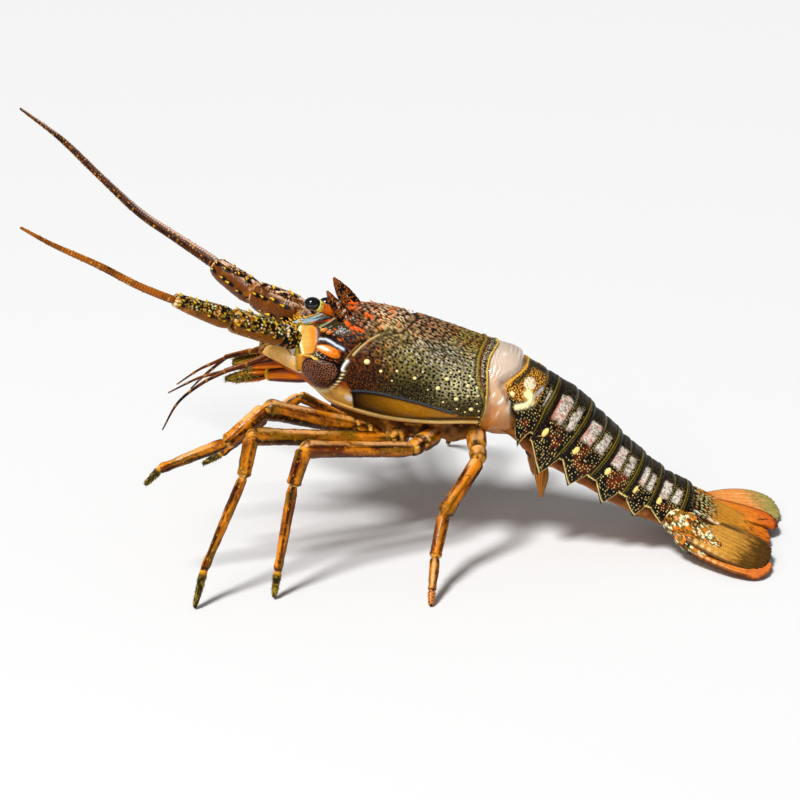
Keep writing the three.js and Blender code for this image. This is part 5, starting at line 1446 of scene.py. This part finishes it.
smallFeelers = {
    "left": (
        [(-72, -8, 30.5, 2.6), (-76, -9, 29, 2.4), (-88, -12, 24.5, 1.9), (-90, -12.3, 23.8, 1.4),
         (-92, -12.6, 23.2, 1.7), (-104, -15, 19.5, 1.5)],
        [(-102, -15, 20, 1.1), (-111, -15.8, 17.8, 1), (-120, -17, 15, 0.8), (-137, -20, 6.5, 0.4)],
        [(-102, -15, 20, 1.2), (-116, -18, 13, 1), (-130.5, -22, 1.5, 0.8), (-140.5, -24, -15.8, 0.4)],
    ),
    "right": (
        [(-72, 4.6, 31.4, 2.6), (-76, 5, 30, 2.4), (-88, 6, 26.5, 1.9), (-90, 6.1, 26, 1.4),
         (-92, 6.3, 25.5, 1.7), (-108, 8, 20.5, 1.5)],
        [(-106, 8, 21, 1.1), (-115, 9, 16.3, 1), (-124, 10, 11.5, 0.8), (-139, 12, 0.5, 0.4)],
        [(-106, 8, 21, 1.1), (-121, 12, 7.5, 0.8), (-131, 15, -3, 0.4)],
    ),
}


def smallFeeler(strands, seed):
    # a jointed stem with two thin tips: dark brown, golden above as a painted highlight, with a pale ring at
    # each joint
    parts = []
    for number, places in enumerate(strands):
        grid = limbGrid(places, 24 if number == 0 else 16, step=0.4, blunt=0.8)
        u, v = grid["along"], grid["fold"]
        shade = noise(u * 0.5, v, 3, seed + number)
        tint = mix((104, 54, 16), (34, 17, 8), ramp(shade, -0.2, 0.3))
        # painted highlight: golden on the top side
        tint = mix(tint, (176, 116, 44), 0.5 * ramp(grid["lift"], 0.5, 0.9))
        joint = bump((u % (19 if number == 0 else 12) - 1.2) / 0.9)
        tint = mix(tint, (206, 156, 76), 0.5 * joint)
        parts.append(closedPart(limbPoints(grid, 0.15 * joint), tint, 0.35))
    return parts


for word, seed in (("left", 801), ("right", 811)):
    parts = smallFeeler(smallFeelers[word], seed)
    makePiece(f"{word}SmallFeeler", parts, whipFinish, [f"antennule_{word}"])

mouthLegs = {
    "left": [[(-46, -9, 19.5, 3.6), (-55, -11.5, 19, 5.4), (-66, -12.6, 18.8, 5.2), (-80, -12.5, 17.8, 3.7)],
             [(-78, -12.5, 18, 3), (-84, -12.5, 17.2, 3.7), (-96, -12, 15.2, 3.2), (-104, -11.5, 13.6, 1.4)],
             [(-52, -9, 23.4, 4.8), (-62, -9.5, 24.5, 5.6), (-74, -9.5, 24.2, 4.9), (-88, -9.5, 21.9, 3.2)]],
    "right": [[(-52, 8, 20.8, 4.6), (-62, 8.5, 21, 5.4), (-72, 9.6, 20.6, 5.6), (-82, 10.4, 19.3, 4.8)],
              [(-80, 10.6, 19.6, 4.2), (-84, 11, 18.8, 5), (-98, 11.5, 16.4, 4.6), (-104, 11.5, 15.4, 2.4)]],
}


def mouthLeg(stretches, seed, hairs):
    # two stretches striped in orange and brown, the outer one bearded with hairs
    parts = []
    pick = np.random.default_rng(seed)
    for number, places in enumerate(stretches):
        grid = limbGrid(places, 52, step=0.4, blunt=0.8)
        u, v = grid["along"], grid["fold"]
        stripe = np.cos(4 * grid["angle"] + 1.4 * noise(u * 0.2, v, 4, seed))
        tint = mix((158, 82, 12), (236, 136, 22), ramp(stripe, 0.3, 0.8))
        tint = mix(tint, (34, 18, 6), 0.9 * ramp(-stripe, 0.45, 0.85))
        near, _, own, _ = cells(u, v, 1.4, seed + 2)
        if number == 1:
            brush = ramp(grid["share"] + 0.3 * noise(u, v, 3, seed + 1), 0.2, 0.5)
            moss = mix((70, 58, 10), (206, 176, 50), fall(near, 0.2, 0.5) * own)
            tint = mix(tint, moss, 0.9 * brush)
        tint = mix(tint, (214, 176, 60), ramp(grid["share"], 0.88, 0.94) * (number == 0))
        points = limbPoints(grid, 0.2 * ramp(stripe, 0.2, 0.9))
        parts.append(closedPart(points, tint, 0.35))
        if number == 1:
            place, out, _, _ = rooted(grid, points, pick, (8, len(points) - 4), hairs)
            lean = out * 0.5 + np.array([-1, 0, -0.25]) + pick.normal(0, 0.15, (hairs, 3))
            parts.append(spikes(place - out * 0.2, lean, pick.uniform(1.2, 2.8, hairs), 0.16,
                                (110, 92, 26), (206, 176, 70), sides=4, rows=3))
    return parts


for word, seed in (("left", 821), ("right", 831)):
    parts = mouthLeg(mouthLegs[word], seed, 260)
    makePiece(f"{word}MouthLeg", parts, legFinish, [f"maxilliped_{word}"])

eyeTable = {"left": ((-50, -14, 63), (-37, -7.5, 55.5)), "right": ((-45.5, 12.5, 55), (-37.5, 8.5, 46.5))}
eyeLook = {"radius": 5}


def eyePart(ball, root):
    # an oval ball on a stalk that widens into a cup behind it
    ball, root = np.array(ball, float), np.array(root, float)
    down = np.linspace(0.001, math.pi - 0.001, 40)[:, None]
    angle = turns(56)[None]
    size = eyeLook["radius"] * np.array([1, 0.85, 0.8])
    sphere = np.broadcast_arrays(np.cos(down), np.sin(down) * np.cos(angle), np.sin(down) * np.sin(angle))
    points = ball + np.stack(sphere, -1) * size
    globe = closedPart(points, paint(9, 9, 12), 0.06)
    widths = ((0, 2.88), (0.55, 3.2), (0.86, 4.3))  # share of the way to the ball, radius
    path = [(*(root + (ball - root) * share), wide) for share, wide in widths]
    grid = limbGrid(path, 40, step=0.4, blunt=0.35)
    near, _, own, _ = cells(grid["along"], grid["fold"], 2.2, 851)
    tint = mix((232, 126, 26), (236, 210, 110), ramp(grid["share"], 0.7, 0.8))
    tint = mix(tint, (120, 56, 14), 0.7 * (own > 0.7) * fall(near, 0.2, 0.45))
    # painted shade: near black on the stalk's underside
    tint = mix(tint, (24, 16, 8), 0.9 * ramp(-grid["lift"], 0.5, 0.8))
    return [globe, closedPart(limbPoints(grid), tint, 0.3)]


for word in ("left", "right"):
    makePiece(f"{word}Eye", eyePart(*eyeTable[word]), eyeFinish, [f"eye_{word}"])
print("feelers, mouth and eyes done")


# ---- legs ----

# where each joint lies, foot last, and the radius of each stretch
legTable = {
    "left": [
        ([(-24, -13, -13), (-26, -20, -8), (-54, -38, 14), (-74, -44, 2), (-99, -52, -18), (-110, -55, -24)],
         (3.8, 3.2, 3.4, 3.2, 1.8)),
        ([(-13, -17, -15), (-24, -29, -7), (-70.7, -60, 13.6), (-92, -72, -3.5), (-128, -85, -15.8),
          (-136, -90, -24)],
         (5.4, 5.8, 5, 3.6, 1.9)),
        ([(2, -18, -16), (-3, -33, -13), (-76, -78, 3.7), (-79.5, -88, -17.4), (-99.3, -110, -65.7),
          (-103.5, -119.5, floorHeight)], (5.6, 4.8, 4.4, 3.1, 2)),
        ([(20, -19, -16), (11, -39, -16), (-46, -78, -2.9), (-52, -84, -23.2), (-59.6, -97, -70.6),
          (-61.3, -102, floorHeight)], (5.6, 4.9, 4.6, 3.2, 2)),
        ([(47, -18, -13), (50, -37, -22), (32, -62, -46.2), (28.6, -80, -65.9), (28.2, -96, -79),
          (28.2, -103, floorHeight)], (5.8, 4.6, 3.9, 3, 2)),
    ],
    "right": [
        ([(-24, 13, -13), (-26, 21, -8), (-52, 44, 14), (-58, 56, 6), (-40, 78, -16), (-34, 84, -24)],
         (3.8, 3.2, 3.4, 3.2, 1.8)),
        ([(-13, 17, -15), (-20, 30, -7), (-44, 76, 14), (-46, 84, 6), (-42, 112, -40), (-40, 118, -50)],
         (5.4, 5.8, 5, 3.6, 1.9)),
        ([(2, 18, -16), (-2, 33, -11), (-26, 98, 8), (-30, 108, -10), (-36, 142, -66), (-38, 152, floorHeight)],
         (5.6, 4.8, 4.4, 3.1, 2)),
        ([(20, 19, -16), (20, 38, -12), (20, 92, 6), (20, 102, -12), (18, 138, -68), (18, 147, floorHeight)],
         (5.6, 4.9, 4.6, 3.2, 2)),
        ([(47, 18, -13), (50, 36, -14), (62, 66, -12), (66, 76, -30), (76, 96, -70), (78, 101, floorHeight)],
         (5.8, 4.6, 3.9, 3, 2)),
    ],
}
legLook = {"gold": (204, 132, 30), "brown": (116, 58, 10), "olive": (116, 92, 20), "stripe": (30, 16, 5),
           "pink": (232, 180, 124), "knob": (206, 152, 56), "foot": (48, 38, 10), "edgeWay": (0.1, 0.93, -0.34)}


def legStretch(start, end, radius, taper, seed, knobShare=0.9):
    # one stretch between two joints: slim root, quick swelling, wider end; dark bands along it, a pale shine
    # above as painted highlight, painted shade below and a dark line round the joint
    start, end = np.array(start, float), np.array(end, float)
    shape = [(-0.02, 0.7), (0.08, 0.98), (0.3, 1), (0.65, 0.5 + 0.5 * taper), (0.84, taper),
             (0.94, taper * 1.08), (1.04, taper * 0.8)]
    grid = limbGrid([(*(start + (end - start) * t), radius * r) for t, r in shape], 48, step=0.55, blunt=1)
    u, v, lift = grid["along"], grid["fold"], grid["lift"]
    tone = legLook
    wobble = noise(u * 0.2, v, 5, seed)
    tint = mix(tone["gold"], tone["brown"], blotch(u * 0.3, v, 4, seed + 1, -0.25, 0.45))
    tint = mix(tint, tone["olive"], 0.7 * blotch(u * 0.4, v, 6, seed + 9, 0.05, 0.35))
    # painted shade: darker brown on the underside
    tint = mix(tint, paint(*tone["brown"]) * 0.6, 0.8 * ramp(-lift, 0.1, 0.7))
    # dark band on each flank, broken in short cross strokes, and thin dark lines beside the shine
    stripe = np.cos(3 * grid["angle"] + 1.2 * wobble + seed)
    strokes = blotch(u * 1.1, v * 0.25, 1.5, seed + 6, -0.5, 0.1)
    tint = mix(tint, tone["stripe"], 0.85 * ramp(stripe, 0.55, 0.85) * (0.45 + 0.55 * strokes))
    shine = ramp(lift, 0.62, 0.8) * fall(lift, 0.93, 0.99) * blotch(u * 0.2, v * 0.4, 5, seed + 2, -0.45, 0)
    tint = mix(tint, tone["pink"], 0.7 * shine)
    edge = bump((np.abs(grid["out"] @ tone["edgeWay"]) - 0.12) / 0.1)
    tint = mix(tint, tone["stripe"], 0.8 * edge * ramp(strokes, 0.1, 0.5))
    tint = mix(tint, tone["stripe"], 0.7 * bump((lift - 0.5) / 0.09) * ramp(wobble, -0.4, 0.1))
    near, _, own, _ = cells(u * 0.7, v, 1.3, seed + 3)
    tint = mix(tint, (226, 176, 84), 0.6 * (own > 0.93) * fall(near, 0.14, 0.4))
    tint = mix(tint, tone["stripe"], 0.75 * (own < 0.1) * fall(near, 0.2, 0.5))
    share = grid["share"]
    ends = np.clip(ramp(share, knobShare, knobShare + 0.04) + 0.7 * fall(share, 0.03, 0.07), 0, 1)
    knobTone = mix(tone["knob"], tone["stripe"], blotch(u, v, 2.6, seed + 4, 0, 0.3))
    knobTone = mix(knobTone, (240, 200, 130), blotch(u, v, 2.2, seed + 7, 0.3, 0.5))
    tint = mix(tint, knobTone, 0.85 * ends)
    seam = bump((share - knobShare) / 0.012) * blotch(u * 0, v, 4, seed + 8, -0.5, -0.1)
    tint = mix(tint, tone["stripe"], 0.85 * seam)
    return closedPart(limbPoints(grid, 0.25 * noise(u, v, 3, seed + 5) - 0.1), tint, 0.34)


def legFoot(start, end, radius, seed, hairy):
    # the last stretch: a claw that thins to its tip, dark and hairy on the front legs, brown on the rear ones
    start, end = np.array(start, float), np.array(end, float)
    shape = [(-0.04, 1), (0.1, 1.15), (0.5, 1), (0.85, 0.75), (1, 0.42)]
    grid = limbGrid([(*(start + (end - start) * t), radius * r) for t, r in shape], 30, step=0.4, blunt=0.9)
    u, v, share = grid["along"], grid["fold"], grid["share"]
    if hairy:
        dark = mix(legLook["foot"], (150, 130, 40), blotch(u, v, 2, seed, 0, 0.4))
        tint = mix((206, 150, 40), dark, ramp(share, 0.05, 0.25))
    else:
        tint = mix((190, 128, 66), (30, 16, 8), ramp(np.cos(u * 3.2) * np.cos(3 * grid["angle"]), 0.35, 0.8))
    tint = mix(tint, (24, 16, 6), ramp(share, 0.9, 0.98))
    points = limbPoints(grid)
    pick = np.random.default_rng(seed)
    hairs = 190 if hairy else 50
    place, out, _, _ = rooted(grid, points, pick, (int(len(points) * 0.15), int(len(points) * 0.9)), hairs)
    ahead = unit(end - start)
    room = (floorHeight + 0.4 - place[:, 2]) / np.minimum(ahead[2] - 0.2, -0.05)
    lengths = np.minimum(pick.uniform(0.8, 1.9, hairs) * (1 if hairy else 0.5), np.maximum(room * 0.7, 0.2))
    beard = spikes(place - out * 0.15, out * 0.75 + ahead, lengths, 0.16, (84, 72, 20),
                   (170, 146, 56), sides=4, rows=3)
    return [closedPart(points, tint, 0.45), beard]


for word, side in sideWords:
    for number, (joints, girths) in enumerate(legTable[word]):
        seed = 900 + 40 * number + (20 if side > 0 else 0)
        coxa, hip, knee, wrist, ankle, toe = (np.array(joint, float) for joint in joints)
        hock = coxa + (hip - coxa) * 0.55
        inward = coxa + (coxa - hip) * 0.25
        tip = toe + np.array([0, 0, 0.9 if toe[2] < floorHeight + 1 else 0])
        upper = [
            legStretch(inward, hock, girths[0] * 1.05, 1, seed, 0.8),
            legStretch(hock, hip + (hip - hock) * 0.12, girths[0] * 0.95, 0.9, seed + 1, 0.75),
            legStretch(hip, knee, girths[1], 1.05, seed + 2, 0.95),
        ]
        lower = [
            legStretch(knee, wrist, girths[2], 0.9, seed + 3, 0.9),
            legStretch(wrist, ankle, girths[3], 0.8, seed + 4, 0.94),
            *legFoot(ankle, tip, girths[4], seed + 5, number < 4),
        ]
        for half, parts in (("Upper", upper), ("Lower", lower)):
            nodes = [f"leg_{word}_{number + 1}_{half.lower()}"]
            makePiece(f"{word}Leg{number + 1}{half}", parts, legFinish, nodes)
print("legs done")


# ---- floor, light and camera ----

stageLook = {"floorSize": 30, "floorTone": (232, 232, 232), "worldStrength": 0.22, "sunStrength": 3.5,
             "sunFrom": (-0.32, -0.42, 0.85), "fillPower": 2}

floorMaterial = bpy.data.materials.new("paleFloor")
floorMaterial.use_nodes = True
floorShader = floorMaterial.node_tree.nodes["Principled BSDF"]
floorShader.inputs["Base Color"].default_value = (*paint(*stageLook["floorTone"]), 1)
floorShader.inputs["Roughness"].default_value = 0.8
reach = stageLook["floorSize"] / 2
floorMesh = bpy.data.meshes.new("floor")
corners = [(-reach, -reach, 0), (reach, -reach, 0), (reach, reach, 0), (-reach, reach, 0)]
floorMesh.from_pydata(corners, [], [(0, 1, 2, 3)])
floorMesh.materials.append(floorMaterial)
floor = linked("floor", floorMesh)

world = bpy.data.worlds.new("softStudio")
bpy.context.scene.world = world
world.use_nodes = True
world.node_tree.nodes["Background"].inputs["Color"].default_value = (1, 1, 1, 1)
world.node_tree.nodes["Background"].inputs["Strength"].default_value = stageLook["worldStrength"]


def aimed(item, place, target):
    # sets an object at a place, looking at the target
    item.location = place
    item.rotation_mode = "QUATERNION"
    item.rotation_quaternion = (Vector(target) - Vector(place)).to_track_quat("-Z", "Y")


middle = (setDown + np.array([0, 0, 10])) * mm
fill = bpy.data.lights.new("fillLight", "AREA")
fill.shape = "DISK"
fill.size = 0.5
fill.energy = stageLook["fillPower"]
aimed(linked("fillLight", fill), (middle[0] - 0.5, middle[1] - 1, 0.9), middle)
sun = bpy.data.lights.new("overheadSun", "SUN")
sun.energy = stageLook["sunStrength"]
sun.angle = math.radians(14)
aimed(linked("overheadSun", sun), middle + np.array(stageLook["sunFrom"]), middle)

# the photo's view: 6 degrees round from the left side and 20 degrees above, through an 85 mm lens
viewLook = {"azimuth": 6, "elevation": 20, "distance": 1133.33, "lens": 85}
azimuth, elevation = math.radians(viewLook["azimuth"]), math.radians(viewLook["elevation"])
level = math.cos(elevation)
away = np.array([math.sin(azimuth) * level, -math.cos(azimuth) * level, math.sin(elevation)])
cameraData = bpy.data.cameras.new("photoView")
cameraData.lens = viewLook["lens"]
cameraData.sensor_width = 36
cameraData.clip_end = 60
camera = linked("photoView", cameraData)
aimed(camera, (setDown + away * viewLook["distance"]) * mm, setDown * mm)
bpy.context.scene.camera = camera
bpy.context.scene.view_settings.view_transform = "Standard"

print("scene ready")
